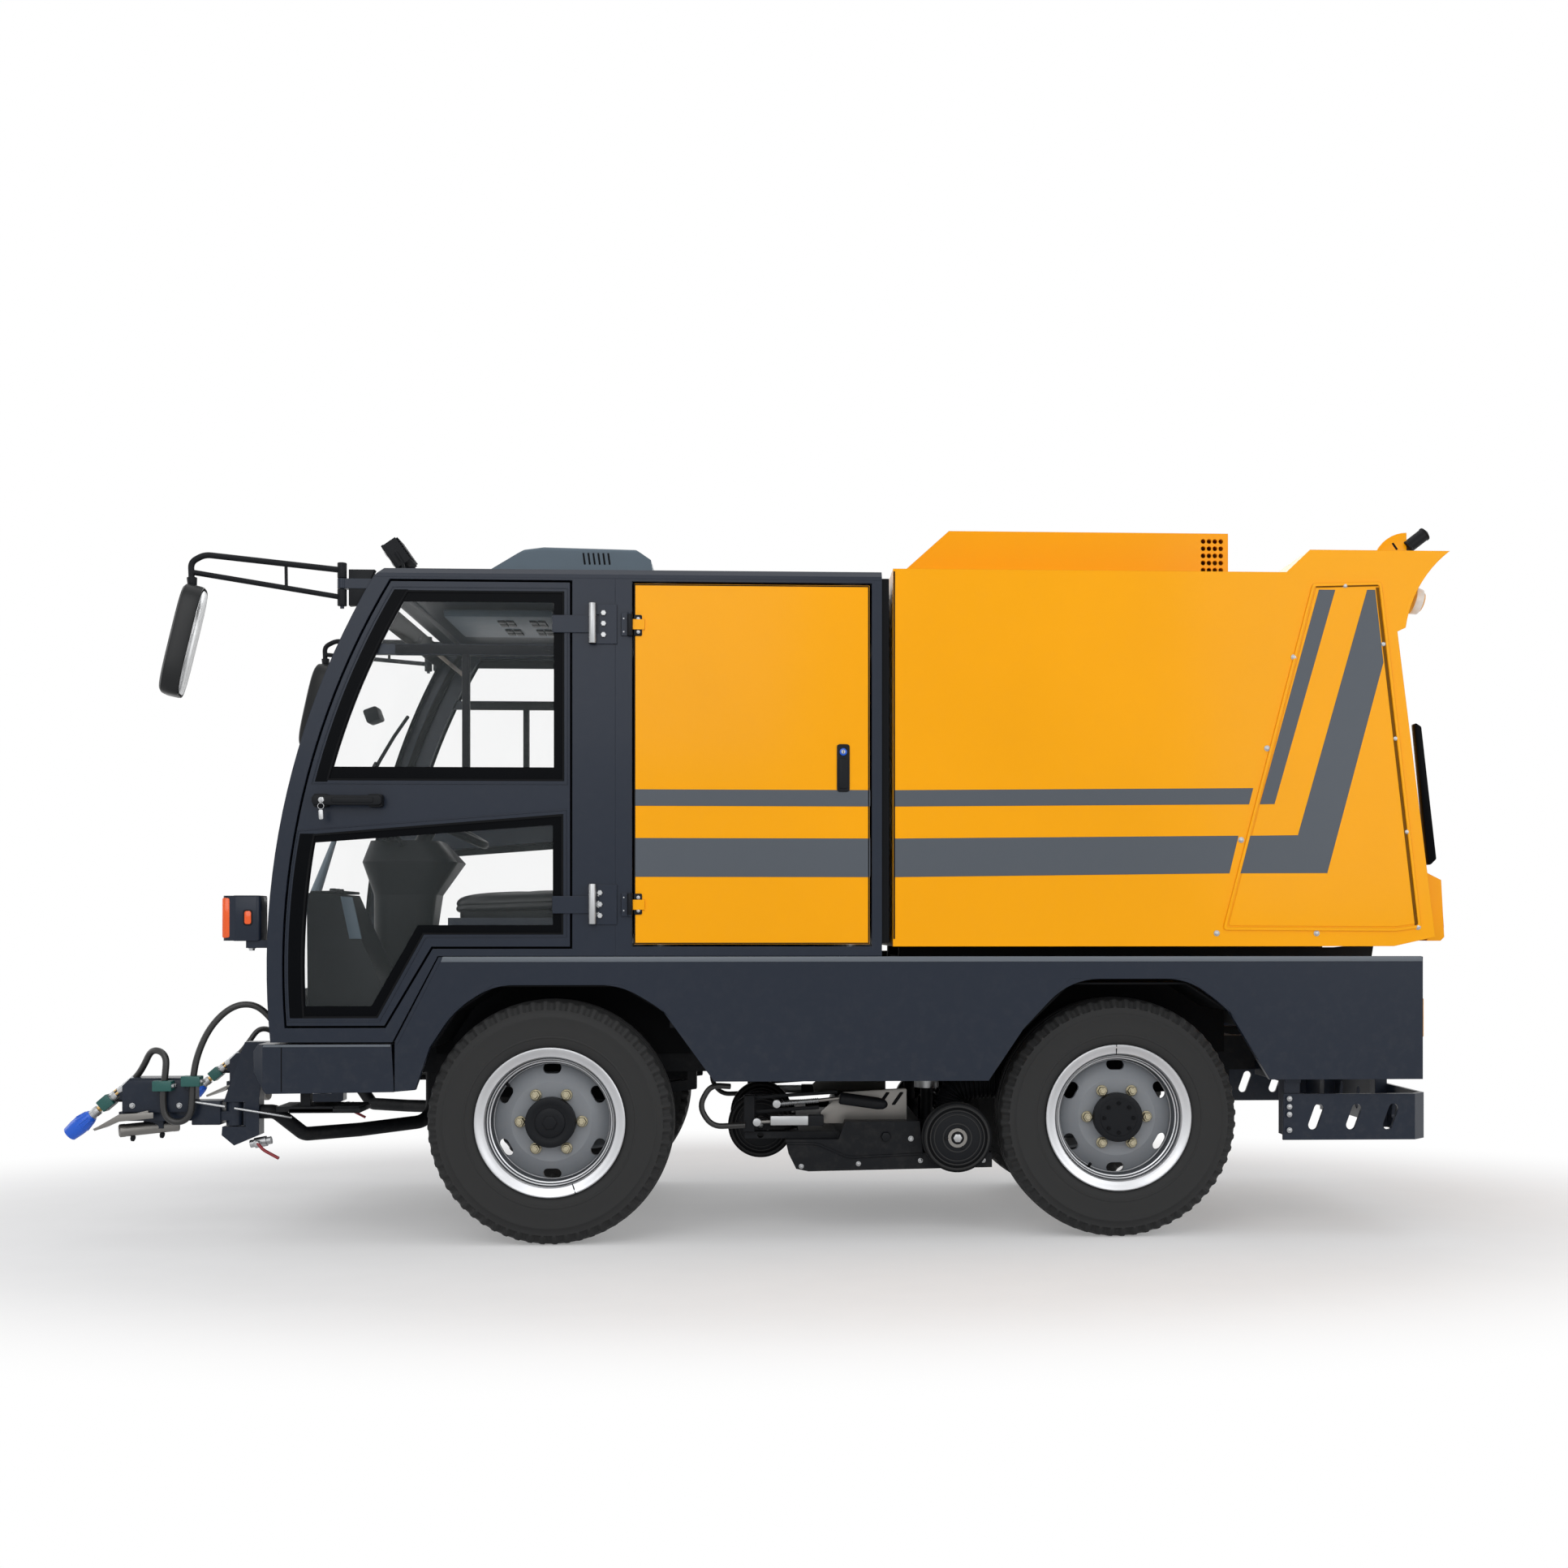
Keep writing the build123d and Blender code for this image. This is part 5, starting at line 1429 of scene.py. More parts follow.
@dataclass
class Mirrors:
    """Rounded mirror heads with a silvered glass behind, on two bent tubes that turn on a pivot."""

    half_width: float = 74.0
    half_height: float = 166.0
    depth: float = 27.0
    lean: float = 13.0
    yaw: float = 9.0
    pivot: Spot = (624.0, 686.0)
    reach: float = 795.0

    def shell(self, centre: Point, share: float, forward: float) -> list[Vector]:
        """One ring of the shell, a share of the full outline, moved forward along the head's axis.

        Args:
            centre: its middle.
            share: share of the full outline.
            forward: how far it lies along the head's axis.

        Returns:
            The ring.
        """
        lean = math.radians(self.lean)
        axis = Vector((math.cos(lean), 0.0, math.sin(lean)))
        rise = Vector((-math.sin(lean), 0.0, math.cos(lean)))
        yaw = Matrix.Rotation(math.radians(self.yaw), 3, "Z")
        cut = (1 - share) * 60
        ring = []
        for c, s in squarish(56, 0.55):
            across = Vector((0, c * (self.half_width - cut), 0))
            ring.append(
                Vector(centre) + yaw @ (across + rise * (s * (self.half_height - cut)) + axis * forward)
            )
        return ring

    def build(self) -> None:
        """Build both mirrors in place of the CAD ones, and the brackets on the cab."""
        px, py = self.pivot
        for side in Side:
            centre = Vector((1063.0, self.reach, 1817.0))
            piece = Piece(f"mirror_head_{side.word}", side)
            depth = self.depth
            steps = (
                (0.90, -depth + 8), (0.955, -depth - 1.5), (0.99, -depth - 0.5), (1.012, -depth + 6), (1.02, 0.0),
                (1.01, depth * 0.45), (0.97, depth * 0.82), (0.86, depth + 1), (0.6, depth + 3),
            )
            piece.loft([self.shell(centre, share, far) for share, far in steps], "mirror_black")
            piece.loft(
                [self.shell(centre, 0.84, far) for far in (-depth - 2.6, -depth + 2)], "mirror_glass", bevel=0.8,
            )
            for low, high in ((1943, 1993), (2027, 2073)):
                piece.drum((px, py, low), (px, py, high), 14, "plastic_black", bevel=1.5)
            out = self.reach
            piece.tube(
                ((px + 6, py, 2052), (1000, out, 2072), (1040, out, 2050), (1036, out, 1950)), 9.0,
                "plastic_black", 18, 14,
            )
            piece.drum((px + 6, py, 1970), (1038, out, 2020), 8, "plastic_black", sides=14)
            piece.drum((780, 726, 1988), (780, 730, 2060), 5, "plastic_black", sides=10)
            piece.drum((1037, out, 2004), (1036, out, 1976), 15, "plastic_black", 13, bevel=1.5)
            head = piece.done(f"mirror_{side.word}")
            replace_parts(head, f"mirror_{side.word}")
            gusset = Piece(f"mirror_bracket_{side.word}", side)
            gusset.plate(
                [(524, 2053), (603, 2053), (603, 1943), (570, 1946)], 668, 694, "plastic_black", bevel=2.0,
            )
            gusset.done("truck_body")


# ---- roof ------------------------------------------------------------------------------------


@dataclass
class RoofFittings:
    """Ribs, slits and screws of the cooling unit, and finned lamps."""

    slits: int = 6
    fins: int = 9

    def cooling(self, piece: Piece) -> None:
        """Ribs over the cover, slits in its flanks and screws round its foot.

        Args:
            piece: the piece that takes the shells.
        """
        low, high = corners("roof_air_conditioner")
        for sign in (-1, 1):
            side_y = sign * (high.y - 0.6)
            for step in range(self.slits):
                x = -150.0 + step * 16
                piece.block((x - 3, side_y - 1.8, 2143), (x + 3, side_y + 1.8, 2181), "rubber_black", 1.0, 8)
        piece.block(
            (low.x - 6, low.y - 6, low.z - 1), (high.x + 6, high.y + 6, low.z + 12), "plastic_grey", 3.0,
        )
        for step in range(4):
            y = -225.0 + step * 150
            piece.plate(
                ((-225, 2193.5), (60, 2199), (116, 2190), (116, 2194), (60, 2203.5), (-225, 2198)),
                y - 28, y + 28, "plastic_grey", bevel=1.8,
            )
        for step in range(12):
            y = -264.0 + step * 48
            piece.block((-302, y - 17, 2085), (-289, y + 17, 2135), "plastic_black", 2.0, -8)
        spots = []
        for sign in (-1, 1):
            for x in (-240.0, -80.0, 80.0, 220.0):
                spots.append(((x, sign * (high.y + 5), low.z + 6), (0.0, float(sign), 0.0)))
        piece.stud(dome_item(4.5, 3.0), spots)

    def lamp(self, piece: Piece, y: float) -> None:
        """One square work lamp: lens, bezel, cooling fins and stirrup.

        Args:
            piece: the piece that takes the shells.
            y: its place across the truck.
        """
        turn = Matrix.Translation((500.0, y, 2144.0)) @ Matrix.Rotation(math.radians(35.0), 4, "Y")
        piece.block((18, -57, -44), (28, 57, 44), "plastic_black", 3.0, place=turn)
        piece.block((27, -50, -37), (29.5, 50, 37), "lamp_white", 1.0, place=turn)
        for step in range(self.fins):
            z = -36.0 + step * 9
            piece.block((-31, -54, z - 2), (16, 54, z + 2), "plastic_black", 0.6, place=turn)
        for z in (-18, 18):
            for across in (-32, 0, 32):
                spot, ahead = (turn @ Vector((x, across, z)) for x in (29, 32))
                piece.drum(spot, ahead, 12, "zinc_plate", 9, 16)
        for out in (-60, 60):
            stirrup = ((470.0, y + out, 2062.0), (478.0, y + out, 2110.0), turn @ Vector((0.0, out, 0.0)))
            piece.tube(stirrup, 5, "plastic_black", 12)
        piece.block((462, y - 66, 2060), (482, y + 66, 2066), "plastic_black", 1.5)

    def build(self) -> None:
        """Build what stands on the roof."""
        piece = Piece("roof_unit_trim")
        self.cooling(piece)
        piece.done("truck_body")
        lamps = Piece("work_lamp_trim")
        for y in (-450.0, 450.0):
            self.lamp(lamps, y)
        lamps.done("truck_body")


@dataclass
class TurnSignals:
    """Amber front lenses and side windows of the corner lamps, with the bracket's nut."""

    def build(self) -> None:
        """Build both corner lamps."""
        low, high = corners("turn_signals")
        for side in Side:
            piece = Piece(f"corner_lamp_{side.word}", side)
            y = high.y - 46
            x = high.x - 56
            piece.plate(
                rectangle(x + 29, y - 47.6, x + 57.6, y + 47.6, 12), 938, 1060, "amber_lens",
                bevel=5.0, across="z",
            )
            piece.plate(
                rectangle(x - 56.8, y - 46.6, x + 30, y + 46.6, 16), 929, 1067, "body_dark",
                bevel=6.0, across="z",
            )
            window = rectangle(x - 31, 980, x - 11, 1020)
            piece.plate(rounded(inset(window, -4), 10), y + 45, y + 48, "plastic_black", bevel=1.0)
            piece.plate(rounded(window, 8), y + 46, y + 49.5, "amber_lens", bevel=1.2)
            for z in (955.0, 985.0, 1015.0, 1042.0):
                piece.block((x + 56.6, y - 36, z - 1), (x + 58.4, y + 36, z + 1), "amber_lens", 0.6)
            spots = [((x - 26, y + 22, 908.0), (0.0, 0.0, -1.0))]
            piece.stud(bolt_item(8.0, 8.0), spots)
            piece.done("truck_body")


# ---- box, tank and skirts --------------------------------------------------------------------


@dataclass
class Livery:
    """The grey bands along the box doors and the tank, and up the tank's rear pocket."""

    film: float = 0.7
    narrow: Spot = (1340.0, 1390.0)
    wide: Spot = (1124.0, 1242.0)
    door: Spot = (-257.0, -976.0)
    tank_bands: tuple[Outline, ...] = (
        ((-1047, 1340), (-1047, 1390), (-2160, 1400), (-2147, 1350)),
        ((-1047, 1124), (-1047, 1242), (-2114, 1253), (-2086, 1137)),
    )
    pocket_bands: tuple[Outline, ...] = (
        ((-2180, 1350), (-2226, 1351), (-2416, 2014), (-2365, 2014)),
        (
            (-2147, 1253), (-2299, 1255), (-2516, 2015), (-2541, 2015), (-2567, 1791), (-2391, 1138),
            (-2117, 1137),
        ),
    )

    def paint(self, piece: Piece, outline: Outline, out: float = 0.0) -> None:
        """Lay one band on the side's skin, or further out."""
        piece.plate(outline, SKIN + out - 0.5, SKIN + out + self.film, "stripe_grey")

    def build(self) -> None:
        """Build the bands."""
        front, rear = self.door
        for side in Side:
            doors = Piece(f"door_bands_{side.word}", side)
            for low, high in (self.narrow, self.wide):
                self.paint(doors, [(front, low), (front, high), (rear, high), (rear, low)])
            doors.done(f"equipment_door_{side.word}")
            tank = Piece(f"tank_bands_{side.word}", side)
            for outline in self.tank_bands:
                self.paint(tank, outline)
            for outline in self.pocket_bands:
                self.paint(tank, outline, 2.0)
            tank.done("debris_tank")


@dataclass
class EquipmentDoors:
    """Rubber edges, butt hinges with their screws and latches of the box's two yellow doors."""

    hinge_z: tuple[float, ...] = (1888.0, 1041.0)
    pin_x: float = -245.0
    pin_out: float = 9.0
    leaf_half: float = 32.0
    leaf_out: float = 3.5
    door_leaf: Spot = (-281.0, -256.0)
    frame_leaf: Spot = (-235.0, -217.0)
    latch: tuple[float, float, float, float] = (-913.0, -874.0, 1384.0, 1530.0)

    def build(self) -> None:
        """Build both doors' fittings."""
        for side in Side:
            low, high = corners("equipment_door_left")
            piece = Piece(f"equipment_door_trim_{side.word}", side)
            outline = rectangle(low.x + 1, low.z + 1, -257, high.z - 1)
            piece.border(outline, inset(outline, 3.5), SKIN - 3, SKIN + 0.9, "rubber_black")
            left, right, foot, head = self.latch
            shape = rectangle(left, foot, right, head, 10)
            piece.plate(shape, SKIN - 1, SKIN + 4, "plastic_black", bevel=1.6)
            paddle = rectangle(left + 6, foot + 10, right - 6, head - 44, 7)
            piece.plate(paddle, SKIN + 3, SKIN + 8, "plastic_black", bevel=2.0)
            middle = (left + right) / 2
            piece.drum(
                (middle, SKIN + 3, head - 24), (middle, SKIN + 9, head - 24), 12, "blue_nozzle", 10.5, bevel=1.0,
            )
            piece.drum((middle, SKIN + 8, head - 24), (middle, SKIN + 10.5, head - 24), 6.5, "zinc_plate", 6)
            piece.block(
                (middle - 1, SKIN + 10, head - 29), (middle + 1, SKIN + 11, head - 19), "rubber_black", 0.2,
            )
            self.leaves(piece, self.door_leaf, -270.0)
            for z in self.hinge_z:
                foot, head = ((self.pin_x, SKIN + self.pin_out, z + reach) for reach in (-33, 33))
                pin = ((0, 7.8), (0.02, 8.6), (0.98, 8.6), (1, 7.8))
                piece.turned(foot, head, pin, "plastic_black", 16)
            piece.done(f"equipment_door_{side.word}")
            frame_piece = Piece(f"equipment_frame_trim_{side.word}", side)
            self.leaves(frame_piece, self.frame_leaf, -226.0)
            frame_piece.done("truck_body")

    def leaves(self, piece: Piece, span: Spot, screw_x: float) -> None:
        """Add both hinges' leaves on one side of their pins.

        Args:
            piece: the piece that takes them.
            span: where a leaf starts and ends.
            screw_x: where its two screws are.
        """
        spots = []
        for z in self.hinge_z:
            leaf = rectangle(span[0], z - self.leaf_half, span[1], z + self.leaf_half, 5)
            piece.plate(leaf, SKIN - 1, SKIN + self.leaf_out, "plastic_black", bevel=1.0)
            spots += [(screw_x, z - 20), (screw_x, z + 20)]
        piece.stud(dome_item(4.2, 3.0), facing_out(spots, SKIN + 3.2))


@dataclass
class TankBody:
    """The tank's pocket panel, bolts, lamps, lifting fin and rear strip."""

    knob: Profile = (
        (0.0, 20), (0.02, 23), (0.10, 23.2), (0.12, 21.5), (0.90, 21.5), (0.92, 23.4), (0.98, 23.2), (1.0, 19),
    )
    pocket: tuple[Spot, ...] = (
        (-2345, 2033), (-2561, 2040), (-2686, 970), (-2607, 959), (-2064, 962),
    )
    # painted shadow strips just inside the pocket's rear and top edges
    shades: tuple[Outline, ...] = (
        ((-2543, 2022), (-2552, 2022), (-2675, 976), (-2666, 976)),
        ((-2356, 2025), (-2356, 2021), (-2550, 2027), (-2550, 2031)),
    )
    bolts: tuple[Spot, ...] = (
        (-2287, 1805), (-2203, 1523), (-2122, 1240), (-2046, 952), (-2358, 952), (-2676, 972), (-2641, 1266),
        (-2605, 1555), (-2567, 1847), (-2447, 2027),
    )

    def panel(self, piece: Piece) -> None:
        """The pocket: a thin raised panel with a folded lip and a low gap inside it, with painted shadow strips along
        its top and rear sides.

        Args:
            piece: the piece that takes the shells.
        """
        outline = rounded(self.pocket, 12, 3)
        inner = rounded(inset(self.pocket, 9), 8, 3)
        edge = rounded(inset(self.pocket, 8.5), 8, 3)
        gap = rounded(inset(self.pocket, 14), 6, 3)
        piece.border(outline, inner, SKIN - 1, SKIN + 5, "body_yellow")
        piece.border(edge, gap, SKIN - 1, SKIN + 0.9, "body_yellow")
        piece.plate(gap, SKIN - 1, SKIN + 2.2, "body_yellow")
        # dark strips painted where the pocket's lip would cast its shadow
        for shade in self.shades:
            piece.plate(shade, SKIN - 1, SKIN + 3.0, "pocket_shade")

    def fittings(self, piece: Piece) -> None:
        """Side lamp, dark strip behind and the sealing lip at the front.

        Args:
            piece: the piece that takes the shells.
        """
        piece.plate(
            rounded([(-2690, 1615), (-2712, 1600), (-2760, 1185), (-2735, 1160)], 8),
            604, 634, "glass_print", bevel=3.0,
        )
        piece.drum((-2708, 560, 2010), (-2734, 560, 2004), 44, "lamp_white", 40, bevel=3.0)
        piece.drum((-2730, 560, 2005), (-2741, 560, 2002), 36, "lens_pale", 30, bevel=2.0)
        piece.block((-1052, SKIN - 2, 935), (-1047, SKIN + 1.2, 2060), "rubber_black", 0.8)

    def build(self) -> None:
        """Build what rides on the tank."""
        for side in Side:
            piece = Piece(f"tank_side_trim_{side.word}", side)
            self.panel(piece)
            self.fittings(piece)
            piece.stud(dome_item(7.0, 5.0), facing_out(self.bolts, SKIN + 1.0))
            piece.done("debris_tank")
        lamps_low, lamps_high = corners("tank_top_lamps")
        fins = Piece("tank_top_fins")
        for sign in (-1, 1):
            y = sign * 300.0
            turns = [math.radians(step * 9) for step in range(11)]
            crest = [(-2784 + 112 * math.cos(turn), 2170 + 112 * math.sin(turn)) for turn in turns]
            fins.plate(
                [(-2672, 2137), *crest, (-2784, 2150), (-2774, 2137)], y - 8, y + 8, "body_yellow", bevel=1.5,
            )
            for x, z in ((-2706, 2208), (-2744, 2236)):
                fins.block((x - 4, y - 9, z - 14), (x + 4, y + 9, z + 14), "rubber_black", 2.0, 35)
            axis = Vector((-0.79, 0.0, 0.61))
            middle = Vector((lamps_low.x - 14, y, lamps_high.z - 14))
            fins.turned(middle - axis * 40, middle + axis * 40, self.knob, "plastic_black", 28)
            fins.drum(middle + axis * 39, middle + axis * 48, 9, "zinc_plate", 7, 6)
        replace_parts(fins.done("debris_tank"), "tank_top_lamps")


@dataclass
class TankHood:
    """Folded edges and screws of the sloped hood on the tank's roof."""

    def build(self) -> None:
        """Build the hood's edges."""
        low, high = corners("tank_hood")
        piece = Piece("hood_trim")
        for sign in (-1, 1):
            y = sign * (high.y + 0.2)
            piece.tube(((low.x + 6, y, low.z + 4), (high.x - 4, y, low.z + 4)), 3.2, "body_yellow", sides=8)
        piece.block((low.x - 1.5, low.y + 4, low.z), (low.x + 2, high.y - 4, high.z - 2), "body_yellow", 1.0)
        spots = []
        for sign in (-1, 1):
            for step in range(7):
                spots.append(
                    ((low.x + 140 + step * 130, sign * (high.y - 0.3), low.z + 18), (0.0, float(sign), 0.0))
                )
        piece.stud(dome_item(4.0, 2.4), spots)
        piece.done("debris_tank")


@dataclass
class Tailgate:
    """Stiffening ribs, plate lamps and the blank number plate of the tailgate."""

    foot: Point = (-2723.6, 0.0, 960.0)
    head: Point = (-2608.4, 0.0, 1876.0)

    def on(self, share: float, out: float, y: float) -> Vector:
        """A point on the gate, a share of the way up, and so far out from it.

        Args:
            share: share of the way up.
            out: how far out.
            y: its place across the truck.

        Returns:
            The point.
        """
        a, b = Vector(self.foot), Vector(self.head)
        way = (b - a).normalized()
        return a + (b - a) * share + Vector((-way.z, 0.0, way.x)) * out + Vector((0.0, y, 0.0))

    def slab(self, piece: Piece, span: Point, width: Spot, finish: str, bevel: float) -> None:
        """A slab on the gate.

        Args:
            piece: the piece that takes it.
            span: share of the height where it starts, where it ends, and how far out it stands.
            width: its two Y values.
            finish: its material.
            bevel: width of its bevel.
        """
        start, end, out = span
        rings = []
        for share in (start, end):
            rings.append([
                self.on(share, -4, width[0]), self.on(share, -4, width[1]), self.on(share, out, width[1]),
                self.on(share, out, width[0]),
            ])
        piece.loft(rings, finish, bevel=bevel)

    def build(self) -> None:
        """Build the gate's details."""
        piece = Piece("tailgate_trim")
        for y in (-420.0, -140.0, 140.0, 420.0):
            self.slab(piece, (0.25, 0.88, 9), (y - 22, y + 22), "body_yellow", 3.0)
        for share in (0.42, 0.68):
            self.slab(piece, (share, share + 0.045, 7), (-560, 560), "body_yellow", 2.5)
        piece.plate(
            [(-2788, 1106), (-2797, 962), (-2801, 962), (-2792, 1106)], -230, 230, "plastic_grey", bevel=1.0,
        )
        for y in (-520.0, 520.0):
            piece.plate(
                [(-2786, 1098), (-2796, 968), (-2806, 968), (-2797, 1098)], y - 60, y + 60, "lamp_red",
                bevel=3.0,
            )
        spots = [
            (self.on(share, 0, y), (-0.98, 0.0, 0.13))
            for share in (0.27, 0.55, 0.80)
            for y in (-600.0, -300.0, 0.0, 300.0, 600.0)
        ]
        piece.stud(dome_item(6.0, 4.0), [(tuple(spot), way) for spot, way in spots])
        piece.done("tailgate")


@dataclass
class Skirts:
    """Painted highlight along the top edge, seams and rear lamps of both side skirts."""

    top: float = 880.0
    rear: float = -2692.0
    front: float = 330.0
    edge: float = 15.0
    arches: tuple[tuple[Spot, ...], ...] = (
        ((359, 608), (286, 718), (169, 795), (-216, 795), (-339, 722), (-420, 640)),
        ((-1380, 580), (-1448, 660), (-1592, 812), (-1957, 812), (-2080, 720), (-2160, 620)),
    )

    def build(self) -> None:
        """Build both skirts' details."""
        for side in Side:
            piece = Piece(f"skirt_trim_{side.word}", side)
            # painted highlight: a pale strip along the skirt's top edge
            piece.plate(
                [(self.front - 4, self.top - self.edge), (self.front - 10, self.top + 1.5),
                 (self.rear + 4, self.top + 1.5), (self.rear + 1, self.top - self.edge)],
                SKIN - 1.0, SKIN + 1.2, "edge_pale", bevel=1.2,
            )
            piece.plate(
                [(self.front - 10, self.top), (self.front + 2, self.top), (464, 624), (458, 612)],
                SKIN - 1.0, SKIN + 0.9, "body_dark",
            )
            for arch in self.arches:
                for bend in zip(arch, arch[1:], arch[2:]):
                    piece.plate([bend[1], *rounded(bend, 500, 8)[9:18]], SKIN - 20, SKIN, "body_dark")
            piece.block((self.rear - 8, SKIN - 64, 630), (self.rear + 3, SKIN - 12, 750), "lens_pale", 3.0)
            for low, high in ((-410, 410), (-2170, -1350)):
                piece.plate(rectangle(low, 560, high, 876), 306, 312, "rubber_black")
            bolts = facing_out([(-2288, z) for z in (338, 387, 411, 436)], 651.5)
            piece.stud(dome_item(6.5, 5.0), bolts)
            piece.done("truck_body")


@dataclass
class FrontBumper:
    """Seam line, painted highlight on the top fold, round lamps and blank plate of the front bumper."""

    lamp_z: float = 560.0
    lamps: tuple[tuple[float, float, float, float, float, str], ...] = (
        (470, -7, 3, 42, 39, "plastic_black"), (470, 1, 7, 33, 27, "lamp_white"),
        (360, -7, 3, 28, 26, "plastic_black"), (360, 1, 6, 21, 17, "amber_lens"),
    )

    def build(self) -> None:
        """Build the bumper's details."""
        low, high = corners("front_bumper")
        for side in Side:
            piece = Piece(f"front_bumper_trim_{side.word}", side)
            y = high.y
            piece.plate(rectangle(800.5, 474, 803.5, 614), y - 1, y + 0.6, "rubber_black")
            # painted highlight: a pale strip along the bumper's top fold
            piece.plate(
                [(476, 609), (858, 609), (854, 616), (476, 616)], y - 1, y + 1.0, "edge_pale", bevel=0.6,
            )
            for out_y, back, front, radius, face, finish in self.lamps:
                ends = ((high.x + x, out_y, self.lamp_z) for x in (back, front))
                piece.drum(*ends, radius, finish, face, bevel=2.0)
            piece.done("truck_body")
        plate = Piece("front_plate_trim")
        plate.plate(
            rectangle(-170, 510, 170, 600, 8), high.x - 4, high.x + 3, "plastic_grey", bevel=1.2,
            across="x",
        )
        spots = [((high.x + 2, y, 588.0), (1.0, 0.0, 0.0)) for y in (-120.0, 120.0)]
        plate.stud(dome_item(4.0, 2.5), spots)
        plate.done("truck_body")


# ---- front washing arms ----------------------------------------------------------------------


@dataclass
class SprayArms:
    """Spray boxes' trims, lances with couplings and nozzles, and clamps of both arms."""

    y: float = 545.0
    start: Spot = (1306.0, 488.0)
    tip: Spot = (1490.0, 331.0)
    crimp: Profile = (
        (0, 12.5), (0.08, 13.6), (0.2, 12.4), (0.32, 13.6), (0.44, 12.4), (0.56, 13.6), (0.68, 12.4), (0.8, 13.6),
        (1, 12.6),
    )
    lance_parts: tuple[tuple[float, float, str, Profile], ...] = (
        (-26, 42, "zinc_plate", crimp),
        (40, 50, "brass", ((0, 15.6), (1, 15.6))),
        (50, 78, "zinc_plate", ((0, 14.8), (0.15, 15.6), (0.85, 15.6), (1, 13))),
        (108, 124, "brass", ((0, 10), (1, 10))),
        (122, 153, "zinc_plate", ((0, 13.8), (0.1, 15), (0.5, 15), (0.52, 13.8), (1, 14.6))),
        (150, 197, "blue_nozzle", ((0, 17.5), (0.1, 20), (0.9, 27.4), (1, 26.8))),
        (194, 242, "blue_nozzle", ((0, 27.2), (0.3, 27.0), (0.95, 23.0), (1, 20))),
    )

    def along(self, distance: float, across: float = 0.0) -> Vector:
        """A point of the lance, so far from its hose end and lifted square to it.

        Args:
            distance: how far from the hose end.
            across: how far it is lifted square to the lance.

        Returns:
            The point.
        """
        a, b = Vector((self.start[0], self.y, self.start[1])), Vector((self.tip[0], self.y, self.tip[1]))
        way = (b - a).normalized()
        return a + way * distance + Vector((-way.z, 0.0, way.x)) * across

    def lance(self, piece: Piece) -> None:
        """Crimped sleeve, brass fitting, clamp blocks and blue nozzle body.

        Args:
            piece: the piece that takes the shells.
        """
        for low, high, finish, profile in self.lance_parts:
            sides = 6 if finish == "brass" else 28
            piece.turned(self.along(low), self.along(high), profile, finish, sides)
        near, far = self.along(158), self.along(190)
        other = (far - near).normalized().cross(OUTBOARD)
        for c, s in circle(12):
            ray = OUTBOARD * c + other * s
            piece.drum(near + ray * 20.5, far + ray * 27.2, 1.8, "blue_nozzle", sides=6)
        rings = [
            [self.along(distance, up * 19) + Vector((0, out * 21.5, 0)) for out, up in SQUARE]
            for distance in (70.0, 111.0)
        ]
        piece.loft(rings, "green_clamp", bevel=2.5)

    def box(self, piece: Piece) -> None:
        """Spray box edge, side plate, bolts and hose clamps.

        Args:
            piece: the piece that takes the shells.
        """
        y = self.y + 45
        piece.plate(
            [(1109, 404), (1312, 404), (1312, 480), (1290, 502), (1109, 502)], y - 1, y + 2.2, "body_dark", bevel=0.8,
        )
        piece.block((1020, self.y - 33, 362), (1108, self.y + 33, 437), "body_dark", 3.0)
        piece.drum((1108, self.y + 55, 438), (1000, self.y + 51, 420), 3.5, "zinc_plate", sides=10)
        clamps = []
        for x, z in ((1183, 486), (1097, 500)):
            piece.block((x - 29, self.y + 40.5, z - 16), (x + 29, self.y + 59.2, z + 16), "green_clamp", 3.0)
            piece.block((x - 29, self.y + 60.2, z - 16), (x + 29, self.y + 80, z + 16), "green_clamp", 3.0)
            clamps += [((x - 28.5, self.y + out, z), (-1.0, 0.0, 0.0)) for out in (50.0, 70.0)]
        piece.stud(bolt_item(5.0, 7.0), clamps)
        spots = facing_out(((1140, 424), (1282, 424)), y + 1.8)
        piece.stud(bolt_item(6.0, 7.0), spots)

    def guard(self, piece: Piece) -> None:
        """Splash plate edge, dark spray tube with its two fan nozzles and the lance's strut.

        Args:
            piece: the piece that takes the shells.
        """
        tube_way = Vector((0.9, 0.42, -0.06)).normalized()
        middle = Vector((1250.0, self.y - 10, 350.0))
        piece.turned(
            middle - tube_way * 88, middle + tube_way * 88,
            ((0, 17), (0.02, 20.2), (0.1, 20.2), (0.11, 19.6), (0.89, 19.6), (0.9, 20.4), (0.98, 20.2), (1, 16)),
            "stainless", 28,
        )
        for reach in (-40.0, 45.0):
            spot = middle + tube_way * reach
            piece.turned(
                spot + Vector((0, 0, -14)), spot + Vector((4, 0, -36)),
                ((0, 6), (0.3, 6), (0.32, 8), (0.7, 8), (1, 5)), "plastic_black", 12,
            )
        piece.plate(
            [(1231, 410), (1321, 390), (1396, 355), (1393, 348), (1318, 382.5), (1231, 400.5)],
            self.y - 56, self.y + 56, "stainless", bevel=0.8,
        )
        piece.plate(
            [(1215, 404), (1318, 399), (1398, 352), (1388, 350), (1320, 376), (1215, 386)],
            self.y + 55, self.y + 58, "stainless", bevel=0.8,
        )
        piece.block((1317, self.y - 9, 433), (1379, self.y + 9, 449), "frame_black", 2.5)

